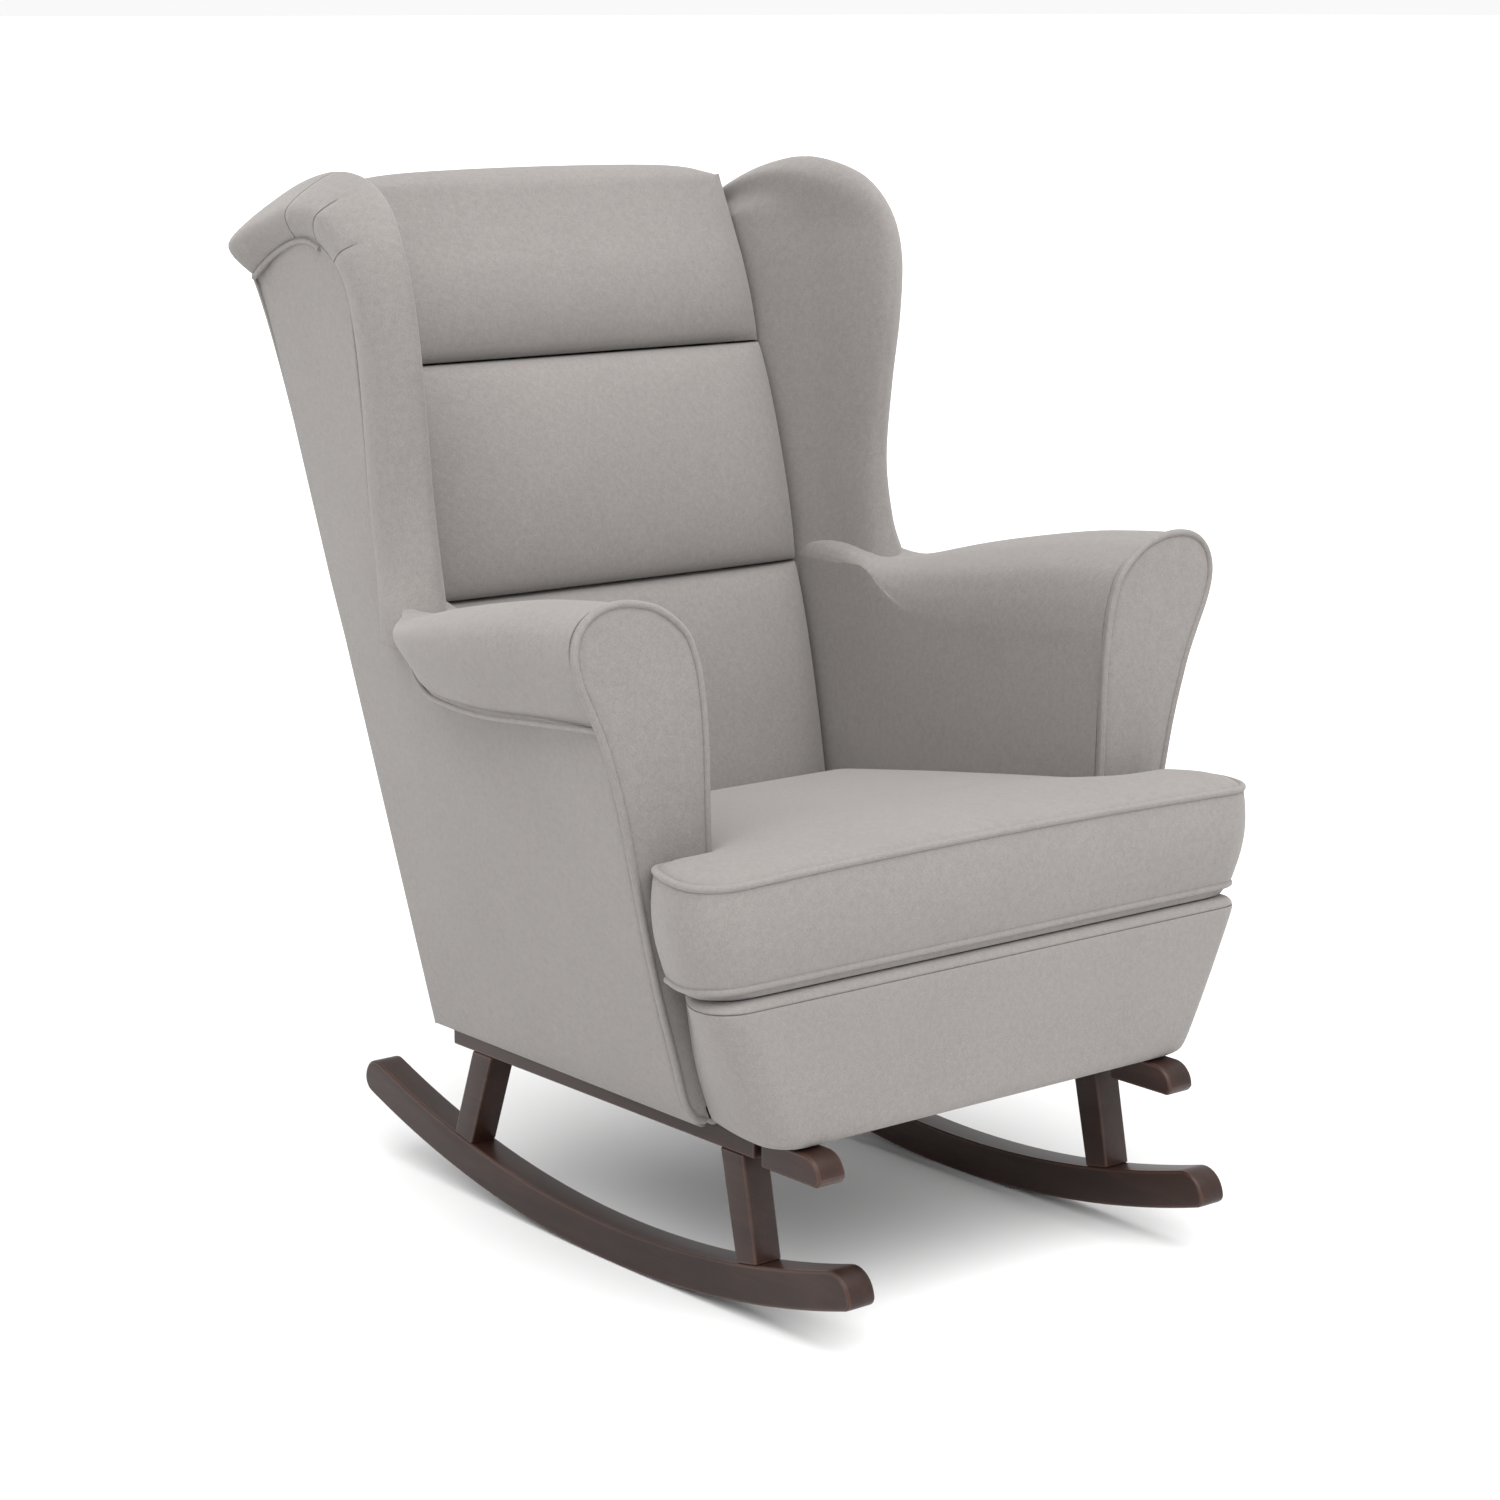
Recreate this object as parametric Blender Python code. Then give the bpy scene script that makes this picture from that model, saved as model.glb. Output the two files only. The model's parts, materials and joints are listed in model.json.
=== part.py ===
"""Upholstered wing-back rocking chair: every frame, base and soft piece as its own object.

Local frame of the chair: x = 0 is the plane of symmetry, +X is the sitter's left, -Y is the front,
z = 0 is the floor, and y = 0 is the line where the runners touch the floor. The empty chair_frame
moves that line to CONTACT_Y, so that the finished chair is centred on the origin.
"""
import math

import bmesh
import bpy

# ---------------------------------------------------------------- driving dimensions, in metres
CONTACT_Y = -0.0665         # runner contact line, from the middle of the chair's length
GAP = 0.0005                # clearance between pieces that touch

ROCKER_RADIUS = 1.22        # rolling radius of a runner's sole
RUNNER_HEIGHT = 0.037
RUNNER_FACET = 0.092        # length of one flat of the sole
BASE_INNER = 0.206          # inner and outer faces of the runners and legs
BASE_OUTER = 0.2375

RAIL_BOTTOM = 0.158
FRAME_BOTTOM = 0.1805       # underside of the seat frame
RAIL_INNER = 0.198

FRONT_PLANE = -0.165        # front faces of the arms
BOARD = 0.012               # plywood of the arms
WING_BOARD = 0.007          # thinner plywood of the wings
COVER = 0.006               # cloth and wadding over a board
INNER_X = 0.2455            # inner faces of the arms
BACK_HALF = 0.2405          # half width of the inner back
DECK_FRONT = 0.331          # height of the spring deck at its front edge
DECK_SLOPE = 0.108          # fall of the deck per metre towards the back
APRON_FRONT = -0.286

# half width of the outer side at the front edge, and the height it belongs to
FLARE = [(0.175, 0.250), (0.198, 0.268), (0.247, 0.284), (0.326, 0.306), (0.419, 0.327),
         (0.483, 0.341), (0.545, 0.358), (0.550, 0.360), (0.606, 0.372), (0.680, 0.376),
         (0.773, 0.376), (0.886, 0.379), (0.944, 0.386)]
# ridge of the arm roll from front to back, and its outermost line
ARM_RIDGE = [(-0.165, 0.669), (-0.079, 0.662), (0.010, 0.648), (0.116, 0.624), (0.200, 0.603),
             (0.290, 0.598)]
ARM_OUTER = [(-0.165, 0.392), (0.010, 0.384), (0.130, 0.374), (0.180, 0.355), (0.240, 0.320),
             (0.290, 0.312)]
# front edge of the wing: inner and outer seam at each height
WING_INNER = [(0.606, 0.272, 0.207), (0.680, 0.273, 0.221), (0.773, 0.281, 0.220),
              (0.886, 0.292, 0.220), (0.944, 0.298, 0.230)]
WING_OUTER = [(0.606, 0.317, 0.246), (0.680, 0.316, 0.266), (0.773, 0.322, 0.266),
              (0.886, 0.333, 0.266), (0.944, 0.339, 0.279)]
SEAM_LOW = 0.597            # sewn channels across the inner back, as heights at its side edges
SEAM_HIGH = 0.826
BACK_TOP = 1.001

FINISHES = {
    "walnut_stain": ((0.085, 0.036, 0.024), 0.38, 0.0),
    "plain_timber": ((0.60, 0.45, 0.28), 0.70, 0.0),
    "plywood": ((0.66, 0.52, 0.34), 0.70, 0.0),
    "spring_steel": ((0.32, 0.32, 0.33), 0.35, 1.0),
    "bolt_steel": ((0.55, 0.55, 0.56), 0.30, 1.0),
    "webbing": ((0.16, 0.15, 0.14), 0.85, 0.0),
    "felt": ((0.30, 0.29, 0.28), 0.95, 0.0),
    "dust_cloth": ((0.03, 0.03, 0.03), 0.95, 0.0),
    "grey_cloth": ((0.42, 0.40, 0.385), 0.92, 0.0),
}


# ---------------------------------------------------------------- shape helpers
def interpolate(table, value, column=1):
    """Straight-line value of one column of a sorted table."""
    for low, high in zip(table, table[1:]):
        if value <= high[0]:
            share = max(0.0, (value - low[0]) / (high[0] - low[0]))
            return low[column] + share * (high[column] - low[column])
    return table[-1][column]


def material(finish):
    found = bpy.data.materials.get(finish)
    if found:
        return found
    colour, roughness, metallic = FINISHES[finish]
    made = bpy.data.materials.new(finish)
    made.use_nodes = True
    shader = made.node_tree.nodes["Principled BSDF"]
    shader.inputs["Base Color"].default_value = (*colour, 1.0)
    shader.inputs["Roughness"].default_value = roughness
    shader.inputs["Metallic"].default_value = metallic
    return made


def loft(name, rings, finish, side=1):
    """Closed solid through rings of equal length; side -1 gives its mirror image."""
    mesh = bmesh.new()
    rows = [[mesh.verts.new((side * x, y, z)) for x, y, z in ring] for ring in rings]
    for lower, upper in zip(rows, rows[1:]):
        for k in range(len(lower)):
            after = (k + 1) % len(lower)
            mesh.faces.new((lower[k], lower[after], upper[after], upper[k]))
    mesh.faces.new(rows[0])
    mesh.faces.new(rows[-1])
    bmesh.ops.recalc_face_normals(mesh, faces=mesh.faces)
    data = bpy.data.meshes.new(name)
    mesh.to_mesh(data)
    mesh.free()
    data.materials.append(material(finish))
    piece = bpy.data.objects.new(name, data)
    piece.parent = chair_frame
    bpy.context.collection.objects.link(piece)
    return piece


def slab_x(name, outline, inner, outer, finish, side=1):
    """Outline in (y, z), thickness along x."""
    rings = [[(x, y, z) for y, z in outline] for x in (inner, outer)]
    return loft(name, rings, finish, side)


def block(name, low, high, finish, side=1):
    """Rectangular timber between two corners."""
    corners = [(low[1], low[2]), (high[1], low[2]), (high[1], high[2]), (low[1], high[2])]
    return slab_x(name, corners, low[0], high[0], finish, side)


def turned(name, x, y, profile, finish, side=1, sides=12):
    """Upright round solid; the profile lists (radius, height) from the bottom up."""
    rings = []
    for radius, z in profile:
        turns = [math.tau * k / sides for k in range(sides)]
        rings.append([(x + radius * math.cos(a), y + radius * math.sin(a), z) for a in turns])
    return loft(name, rings, finish, side)


def combine(target, tool, operation):
    """Boolean between a piece and a hidden tool."""
    tool.hide_render = True
    tool.display_type = "WIRE"
    step = target.modifiers.new(tool.name, "BOOLEAN")
    step.operation = operation
    step.object = tool


def both_sides(make):
    for side, word in ((1, "left"), (-1, "right")):
        make(side, word)


# ---------------------------------------------------------------- surfaces that pieces share
def deck_z(y):
    return DECK_FRONT - DECK_SLOPE * (y - APRON_FRONT)


def rear_y(z):
    """Outer face of the back."""
    return 0.283 + 0.24 * (z - 0.174)


def rear_half(z):
    """Half width of the chair at its rear corners."""
    return 0.244 + 0.0965 * (z - 0.174)


def side_x(y, z):
    """Outer face of a side: straight from its front edge to its rear corner."""
    share = (y - FRONT_PLANE) / (rear_y(z) - FRONT_PLANE)
    front = interpolate(FLARE, z)
    return front + share * (rear_half(z) - front)


def back_y(z):
    """Front face of the inner back at its side edges."""
    return interpolate([(0.300, 0.236), (0.370, 0.248), (SEAM_LOW, 0.295), (SEAM_HIGH, 0.357),
                        (BACK_TOP, 0.428)], z)


def frame_y(z):
    """Front face of the back posts."""
    return rear_y(z) - 0.047


def post_outer(z):
    return rear_half(z) - 0.0195


def post_inner(z):
    return post_outer(z) - 0.030


# ---------------------------------------------------------------- rocking base
FACET_ANGLE = RUNNER_FACET / ROCKER_RADIUS
ARC_CENTRE_Z = ROCKER_RADIUS * math.cos(FACET_ANGLE / 2)
FRONT_FLATS = 3.5           # flats from the contact line to where the front end is rounded
REAR_FLATS = 4.5
TOP_STEPS = 20              # straight stretches of a runner's upper face
NOSE_LENGTH = 0.0366
TAIL_LENGTH = 0.0215
LEGS = {"front": ((-0.203, -0.170), (-0.222, -0.193)), "rear": ((0.193, 0.225), (0.230, 0.259))}


def on_arc(angle, radius):
    return radius * math.sin(angle), ARC_CENTRE_Z - radius * math.cos(angle)


def runner_top(y):
    radius = ROCKER_RADIUS - RUNNER_HEIGHT
    return ARC_CENTRE_Z - math.sqrt(radius * radius - y * y)


def rounded_end(length, sole_radius, top_radius):
    """Distance past the end and depth above the sole, round one end of a runner."""
    points = []
    for k in range(4):
        a = math.pi / 2 * k / 3
        points.append((length - sole_radius * (1 - math.sin(a)), sole_radius * (1 - math.cos(a))))
    for k in range(5):
        a = math.pi / 2 * k / 4
        points.append((length - top_radius * (1 - math.cos(a)),
                       RUNNER_HEIGHT - top_radius * (1 - math.sin(a))))
    return points


def runner_outline():
    flats = [FACET_ANGLE * (k - FRONT_FLATS) for k in range(int(FRONT_FLATS + REAR_FLATS) + 1)]
    outline = [on_arc(a, ROCKER_RADIUS) for a in flats]
    for past, depth in rounded_end(TAIL_LENGTH, 0.016, 0.019):
        outline.append(on_arc(flats[-1] + past / ROCKER_RADIUS, ROCKER_RADIUS - depth))
    for k in range(TOP_STEPS + 1):
        angle = flats[-1] + k / TOP_STEPS * (flats[0] - flats[-1])
        outline.append(on_arc(angle, ROCKER_RADIUS - RUNNER_HEIGHT))
    for past, depth in reversed(rounded_end(NOSE_LENGTH, 0.009, 0.024)):
        outline.append(on_arc(flats[0] - past / ROCKER_RADIUS, ROCKER_RADIUS - depth))
    return outline


def leg_outline(top, bottom):
    return [(top[0], RAIL_BOTTOM - GAP), (top[1], RAIL_BOTTOM - GAP),
            (bottom[1], runner_top(bottom[1]) + GAP), (bottom[0], runner_top(bottom[0]) + GAP)]


def make_base(side, word):
    """Runner, base rail, nose block and two legs with tenons above and dowels below."""
    runner = slab_x("runner_" + word, runner_outline(), BASE_INNER, BASE_OUTER, "walnut_stain", side)
    rail = block("base_rail_" + word, (RAIL_INNER, -0.218, RAIL_BOTTOM),
                 (BASE_OUTER, 0.258, FRAME_BOTTOM - GAP), "walnut_stain", side)
    middle = (BASE_INNER + BASE_OUTER) / 2
    for place, (top, bottom) in LEGS.items():
        leg = slab_x(f"{place}_leg_{word}", leg_outline(top, bottom), BASE_INNER + 0.001,
                     BASE_OUTER, "walnut_stain", side)
        top_y = sum(top) / 2
        tenon = block(f"tenon_{place}_{word}", (middle - 0.009, top_y - 0.010, RAIL_BOTTOM - 0.006),
                      (middle + 0.009, top_y + 0.010, RAIL_BOTTOM + 0.012), "walnut_stain", side)
        combine(leg, tenon, "UNION")
        mortise = block(f"mortise_{place}_{word}",
                        (middle - 0.0095, top_y - 0.0105, RAIL_BOTTOM - 0.01),
                        (middle + 0.0095, top_y + 0.0105, RAIL_BOTTOM + 0.0125), "walnut_stain", side)
        combine(rail, mortise, "DIFFERENCE")
        foot_y = sum(bottom) / 2
        foot_z = runner_top(foot_y)
        peg_y = foot_y + 0.08 * (top_y - foot_y)
        turned(f"{place}_leg_dowel_{word}", middle, peg_y,
               [(0.005, foot_z - 0.018), (0.005, foot_z + 0.018)], "plain_timber", side, 10)
        hole = turned(f"dowel_hole_{place}_{word}", middle, peg_y,
                      [(0.0054, foot_z - 0.0185), (0.0054, foot_z + 0.0185)], "walnut_stain", side, 10)
        combine(leg, hole, "DIFFERENCE")
        combine(runner, hole, "DIFFERENCE")
    nose = [(-0.226, 0.152), (-0.226, 0.1795), (-0.288, 0.1795), (-0.299, 0.176), (-0.306, 0.168),
            (-0.308, 0.160), (-0.306, 0.154), (-0.302, 0.152)]
    slab_x("base_nose_" + word, nose, 0.204, BASE_OUTER - 0.002, "walnut_stain", side)


# ---------------------------------------------------------------- seat frame and suspension
BOLT_X = 0.209
BOLT_PLACES = {"front": -0.120, "rear": 0.120}
SIDE_RAIL = (0.197, 0.2185)
RAIL_FRONT = -0.2185
RAIL_REAR = 0.2285
SPRING_WAVES = 13
SPRING_WIRE = 0.0019
SPRING_PLACES = (-0.135, -0.045, 0.045, 0.135)


def frame_top(y):
    """Top edge of the seat frame, below springs and deck."""
    return deck_z(y) - 0.0165


def make_side_rail(side, word):
    outline = [(RAIL_FRONT, FRAME_BOTTOM), (RAIL_REAR, FRAME_BOTTOM),
               (RAIL_REAR, frame_top(RAIL_REAR)), (RAIL_FRONT, frame_top(RAIL_FRONT))]
    seat_rail = slab_x("seat_side_rail_" + word, outline, *SIDE_RAIL, "plain_timber", side)
    base_rail = bpy.data.objects["base_rail_" + word]
    for place, y in BOLT_PLACES.items():
        head = RAIL_BOTTOM - 0.0003
        turned(f"base_bolt_{place}_{word}", BOLT_X, y,
               [(0.0055, head - 0.0045), (0.007, head - 0.003), (0.007, head), (0.003, head),
                (0.003, 0.215)], "bolt_steel", side)
        hole = turned(f"bolt_hole_{place}_{word}", BOLT_X, y, [(0.0034, 0.15), (0.0034, 0.2155)],
                      "bolt_steel", side)
        combine(seat_rail, hole, "DIFFERENCE")
        combine(base_rail, hole, "DIFFERENCE")
    block("seat_ear_block_" + word, (SIDE_RAIL[1] + GAP, RAIL_FRONT, 0.215),
          (0.238, FRONT_PLANE - 0.002, frame_top(FRONT_PLANE)), "plain_timber", side)
    inner = SIDE_RAIL[0] - GAP
    corner = [(inner, 0.204), (inner, 0.150), (inner - 0.054, 0.204)]
    rings = [[(x, y, z) for x, y in corner] for z in (0.195, 0.232)]
    loft("corner_block_" + word, rings, "plain_timber", side)


def make_seat_frame():
    half = SIDE_RAIL[1]
    block("seat_front_rail", (-half, APRON_FRONT + APRON_PAD + APRON_BOARD + 0.004, 0.198),
          (half, RAIL_FRONT - GAP, frame_top(RAIL_FRONT)), "plain_timber")
    half = SIDE_RAIL[0] - GAP
    block("seat_rear_rail", (-half, 0.210, 0.205), (half, RAIL_REAR, frame_top(RAIL_REAR)),
          "plain_timber")
    block("dust_cover", (-RAIL_INNER + 0.0015, -0.236, 0.1788), (RAIL_INNER - 0.0015, 0.262, 0.180),
          "dust_cloth")


def make_spring(number, x):
    """Sinuous steel spring from the front rail to the rear rail."""
    first, last = RAIL_FRONT - 0.012, RAIL_REAR - 0.012
    centres = []
    for k in range(SPRING_WAVES * 4 + 1):
        share = k / (SPRING_WAVES * 4)
        y = first + share * (last - first)
        centres.append((x + 0.021 * math.sin(math.tau * SPRING_WAVES * share), y, deck_z(y) - 0.0136))
    rings = []
    for k, (cx, cy, cz) in enumerate(centres):
        before = centres[max(k - 1, 0)]
        after = centres[min(k + 1, len(centres) - 1)]
        heading = math.atan2(after[1] - before[1], after[0] - before[0])
        ring = []
        for turn in range(5):
            a = math.tau * turn / 5
            across = SPRING_WIRE * math.cos(a)
            ring.append((cx - across * math.sin(heading), cy + across * math.cos(heading),
                         cz + SPRING_WIRE * math.sin(a)))
        rings.append(ring)
    loft(f"seat_spring_{number}", rings, "spring_steel")


def make_deck():
    """Felt-covered deck that the loose cushion lies on, wider in front of the arms."""
    front, step, rear = -0.262, FRONT_PLANE - 0.002, 0.236
    wide, narrow = 0.259, 0.237
    right = [(narrow, rear), (narrow, step), (wide, step), (wide, front)]
    plan = right + [(-x, y) for x, y in reversed(right)]
    rings = [[(x, y, deck_z(y) - drop) for x, y in plan] for drop in (0.0105, GAP)]
    loft("seat_deck", rings, "felt")


# ---------------------------------------------------------------- back frame
POST_DEPTH = 0.030
BACK_RAILS = {"back_lower_rail": (0.305, 0.340), "back_top_rail": (0.905, 0.940)}
WEBBING_HEIGHTS = (0.43, 0.59, 0.75)


def make_post(side, word):
    rings = []
    for z in (FRAME_BOTTOM, 0.940):
        front, rear = frame_y(z), frame_y(z) + POST_DEPTH
        rings.append([(post_inner(z), front, z), (post_outer(z), front, z),
                      (post_outer(z), rear, z), (post_inner(z), rear, z)])
    loft("back_post_" + word, rings, "plain_timber", side)


def make_back_rails():
    for name, heights in BACK_RAILS.items():
        rings = []
        for z in heights:
            half = post_inner(z) - GAP
            front, rear = frame_y(z) + 0.001, frame_y(z) + POST_DEPTH - 0.001
            rings.append([(-half, front, z), (half, front, z), (half, rear, z), (-half, rear, z)])
        loft(name, rings, "plain_timber")
    for number, middle in enumerate(WEBBING_HEIGHTS, start=1):
        rings = []
        for z in (middle - 0.025, middle + 0.025):
            half = post_outer(z) - 0.004
            front, rear = frame_y(z) - 0.0022, frame_y(z) - GAP
            rings.append([(-half, front, z), (half, front, z), (half, rear, z), (-half, rear, z)])
        loft(f"back_webbing_{number}", rings, "webbing")


# ---------------------------------------------------------------- sides
SIDE_ROWS = [0.175, 0.198, 0.247, 0.326, 0.419, 0.483, 0.545]
WING_ROWS = [0.550, 0.606, 0.680, 0.773, 0.886, 0.944]


def wing_front(z):
    """Front edge of the boards behind the wing's padded edge."""
    return interpolate([(0.550, 0.2365)] + [(row[0], row[2] + 0.002) for row in WING_OUTER], z)


def side_shell(name, rows, outer, inner, finish, side):
    """Curved board between two depths below the outer face; rows list (z, front y, rear y)."""
    rings = []
    for z, front, rear in rows:
        steps = [front + (rear - front) * k / 3 for k in range(4)]
        ring = [(side_x(y, z) - outer, y, z) for y in steps]
        ring += [(side_x(y, z) - inner, y, z) for y in reversed(steps)]
        rings.append(ring)
    loft(name, rings, finish, side)


def make_side_boards(side, word):
    seen_front = FRONT_PLANE + 0.015
    cover_rear = COVER + GAP
    rows = [(z, seen_front, rear_y(z) - cover_rear) for z in SIDE_ROWS]
    rows += [(z, wing_front(z), rear_y(z) - cover_rear) for z in WING_ROWS]
    side_shell("outer_side_" + word, rows, 0.0, COVER, "grey_cloth", side)
    face = COVER + GAP
    rows = [(z, seen_front, 0.235) for z in SIDE_ROWS[1:]]
    side_shell("arm_board_" + word, rows, face, face + BOARD, "plywood", side)
    rows = [(z, 0.236, rear_y(z) - cover_rear) for z in SIDE_ROWS[1:]]
    rows += [(z, wing_front(z), rear_y(z) - cover_rear) for z in WING_ROWS]
    side_shell("wing_board_" + word, rows, face, face + WING_BOARD, "plywood", side)


PAD_DEPTH = COVER + BOARD + 0.0025
ROLL_END = 0.2355           # behind this line the pad runs on inside the wing's board
ARM_UNDERSIDE = [(0.150, 0.5535), (0.200, 0.562), (0.290, 0.566)]
PAD_BOTTOM = [(0.200, 0.336), (0.290, 0.420)]


def arm_section(y):
    """Inner face, roll and underside of the arm's upholstery across one plane."""
    top, outer = interpolate(ARM_RIDGE, y), interpolate(ARM_OUTER, y)
    under, low = interpolate(ARM_UNDERSIDE, y), interpolate(PAD_BOTTOM, y)
    lip = min(outer - 0.022, side_x(y, 0.55) + 0.008)
    if y > ROLL_END:
        outer = side_x(y, 0.560) - PAD_DEPTH
        lip = outer - 0.002
    radius_z = 0.58 * (top - under)
    centre_z = top - radius_z
    centre_x, radius_x = (0.256 + outer) / 2, (outer - 0.256) / 2
    points = [(INNER_X, low), (INNER_X + 0.001, 0.470), (INNER_X + 0.005, centre_z - 0.012)]
    for k in range(9):
        a = math.radians(180 - 210 * k / 8)
        points.append((centre_x + radius_x * math.cos(a), centre_z + radius_z * math.sin(a)))
    points.append((lip, under))
    points.append((side_x(y, under) - PAD_DEPTH - 0.004, under))
    for z in (0.483, max(0.425, low + 0.003), low):
        points.append((side_x(y, z) - PAD_DEPTH, z))
    return [(x, y, z) for x, z in points]


def make_arm(side, word):
    stations = (FRONT_PLANE + 0.015, -0.079, 0.010, 0.080, 0.150, 0.200, ROLL_END, 0.2357, 0.290)
    loft("arm_pad_" + word, [arm_section(y) for y in stations], "grey_cloth", side)
    outline = [(0.234, 0.190), (0.254, 0.184), (0.268, 0.198), (0.279, 0.221), (0.306, 0.326),
               (0.327, 0.419), (0.341, 0.483), (0.355, 0.537), (0.368, 0.570), (0.381, 0.596),
               (0.389, 0.618), (0.392, 0.639), (0.381, 0.657), (0.366, 0.666), (0.345, 0.670),
               (0.321, 0.667), (0.297, 0.657), (0.271, 0.637), (0.259, 0.612), (0.250, 0.570),
               (0.246, 0.480), (INNER_X, 0.420), (0.2445, 0.314), (0.2385, 0.300)]
    rings = [[(x, y, z) for x, z in outline] for y in (FRONT_PLANE, FRONT_PLANE + 0.0145)]
    loft("arm_front_" + word, rings, "grey_cloth", side)


# ---------------------------------------------------------------- wings
WING_BULGE = 0.011
ROLL_OUTER = 0.345
ROLL_REAR = 0.484
FACE_X = BACK_HALF + 0.002  # inner face of the wing where it meets the back
FACE_PAD = 0.014            # thickness of the wing's padding


def wing_nose(z):
    """Padded front edge, from the inner seam to the outer seam."""
    level = min(z, WING_ROWS[-1])
    inner = (interpolate(WING_INNER, level, 1), interpolate(WING_INNER, level, 2))
    outer = (interpolate(WING_OUTER, level, 1), interpolate(WING_OUTER, level, 2))
    width = math.hypot(outer[0] - inner[0], outer[1] - inner[1])
    proud = ((outer[1] - inner[1]) / width, (inner[0] - outer[0]) / width)
    points = []
    for share in (0.0, 0.15, 0.5, 0.85, 1.0):
        lift = WING_BULGE * math.sin(math.pi * share)
        points.append((inner[0] + share * (outer[0] - inner[0]) + lift * proud[0],
                       inner[1] + share * (outer[1] - inner[1]) + lift * proud[1]))
    return points


def wing_ring(z):
    """Padded inner face and front edge; the space between the face and the board is open."""
    rear = frame_y(z) - 0.003
    nose = wing_nose(z)
    outer_x, outer_y = nose[-1]
    board_x = min(outer_x, side_x(outer_y, z)) - PAD_DEPTH
    hollow_y = outer_y + FACE_PAD
    ring = [(FACE_X, rear), *nose, (board_x, outer_y + GAP), (board_x - GAP, hollow_y),
            (nose[0][0] + 0.012, hollow_y), (FACE_X + FACE_PAD, rear)]
    return [(x, y, z) for x, y in ring]


def roll_ring(z, inset):
    """Top of the wing, which rolls outwards and back over the side."""
    nose = [(x - 0.4 * inset, y + inset) for x, y in wing_nose(z)]
    outer, rear = ROLL_OUTER - inset, ROLL_REAR - inset
    ring = [(FACE_X, rear), *nose, (outer, 0.33), (outer, rear), (outer - 0.030, rear),
            (FACE_X + FACE_PAD, rear)]
    return [(x, y, z) for x, y in ring]


def make_wing(side, word):
    rings = [wing_ring(z) for z in WING_ROWS[1:]]
    top = WING_ROWS[-1]
    rings[-1] = [(x, y, top + GAP) for x, y, z in rings[-1]]
    rings += [roll_ring(top + 2 * GAP, 0.004), roll_ring(0.960, 0.0), roll_ring(0.985, 0.002),
              roll_ring(1.003, 0.012), roll_ring(1.014, 0.030)]
    loft("wing_" + word, rings, "grey_cloth", side)


# ---------------------------------------------------------------- back pillows and back cover
PILLOW_BULGE = 0.034
PAD_THICKNESS = 0.012       # the filling behind a back pad's face is left hollow
BACK_COVER = 0.003
PILLOW_STATIONS = (-1.0, -0.94, -0.8, -0.45, 0.0, 0.45, 0.8, 0.94, 1.0)


def pillow_face(fullness, low, high, depth=0.0):
    """Front face of a back pad, which bulges between its seams, or a face at a depth inside it."""
    points = []
    for k in range(7):
        z = low + k / 6 * (high - low)
        swell = abs(math.sin(math.pi * k / 6)) ** 0.6
        points.append((back_y(z) + depth - PILLOW_BULGE * fullness * swell, z))
    return points


def make_pillows():
    spans = (("back_pillow_lower", 0.300, SEAM_LOW - 0.001),
             ("back_pillow_middle", SEAM_LOW, SEAM_HIGH - 0.001),
             ("back_pillow_upper", SEAM_HIGH, BACK_TOP - 0.006))
    for name, low, high in spans:
        rings = []
        for station in PILLOW_STATIONS:
            x = station * BACK_HALF
            fullness = (1 - abs(x / (BACK_HALF + 0.001)) ** 2.5) ** 0.5
            points = pillow_face(fullness, low, high)
            inside = pillow_face(fullness, low, high, PAD_THICKNESS)[::-1]
            if high > SEAM_HIGH:
                crown = 0.012 * fullness
                over = 0.9445
                points += [(0.440, 1.002 + crown), (0.462, 1.000 + crown), (0.474, 0.988),
                           (0.476, 0.965), (rear_y(over), over), (frame_y(over) + 0.033, over),
                           (0.458, 0.975), (0.452, 0.985)]
            rings.append([(x, y, z) for y, z in points + inside])
        loft(name, rings, "grey_cloth")


def make_outer_back():
    rings = []
    for z in (0.176, 0.350, 0.550, 0.750, 0.944):
        half, rear = rear_half(z), rear_y(z)
        shares = (-1.0, -0.5, 0.0, 0.5, 1.0)
        ring = [(half * s, rear + 0.006 * (1 - s * s), z) for s in shares]
        ring += [(half * s, rear + 0.006 * (1 - s * s) - BACK_COVER, z) for s in reversed(shares)]
        rings.append(ring)
    loft("outer_back", rings, "grey_cloth")


# ---------------------------------------------------------------- front border and loose cushion
# half width at the front and at the arm, and setback of the face, for each height of the border
APRON_LEVELS = [(0.1805, 0.246, 0.238, 0.010), (0.187, 0.259, 0.248, 0.004),
                (0.209, 0.2735, 0.257, 0.001), (0.245, 0.2905, 0.268, 0.0),
                (0.290, 0.3115, 0.276, 0.0), (0.330, 0.3235, 0.278, 0.002)]
APRON_CORNER = 0.036
APRON_PAD = 0.016
APRON_BOARD = 0.015         # bent plywood that carries the padded border
APRON_REAR = FRONT_PLANE - 0.0015
BOARD_CLEARANCE = 0.004     # between the border's pad and its bent board
BOARD_REAR = RAIL_FRONT - 0.004
EAR_STEPS = 3


def u_line(half, rear_half, front, rear, radius, steps=4):
    """Plan line from the left arm out round the front, and back to the right arm."""
    half_line = []
    for k in range(EAR_STEPS):
        share = k / EAR_STEPS
        half_line.append((rear_half + (half - rear_half) * math.sin(share * math.pi / 2),
                          rear + share * (front + radius - rear)))
    for k in range(steps + 1):
        a = math.pi / 2 * k / steps
        half_line.append((half - radius + radius * math.cos(a),
                          front + radius - radius * math.sin(a)))
    return half_line + [(-x, y) for x, y in reversed(half_line)]


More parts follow.
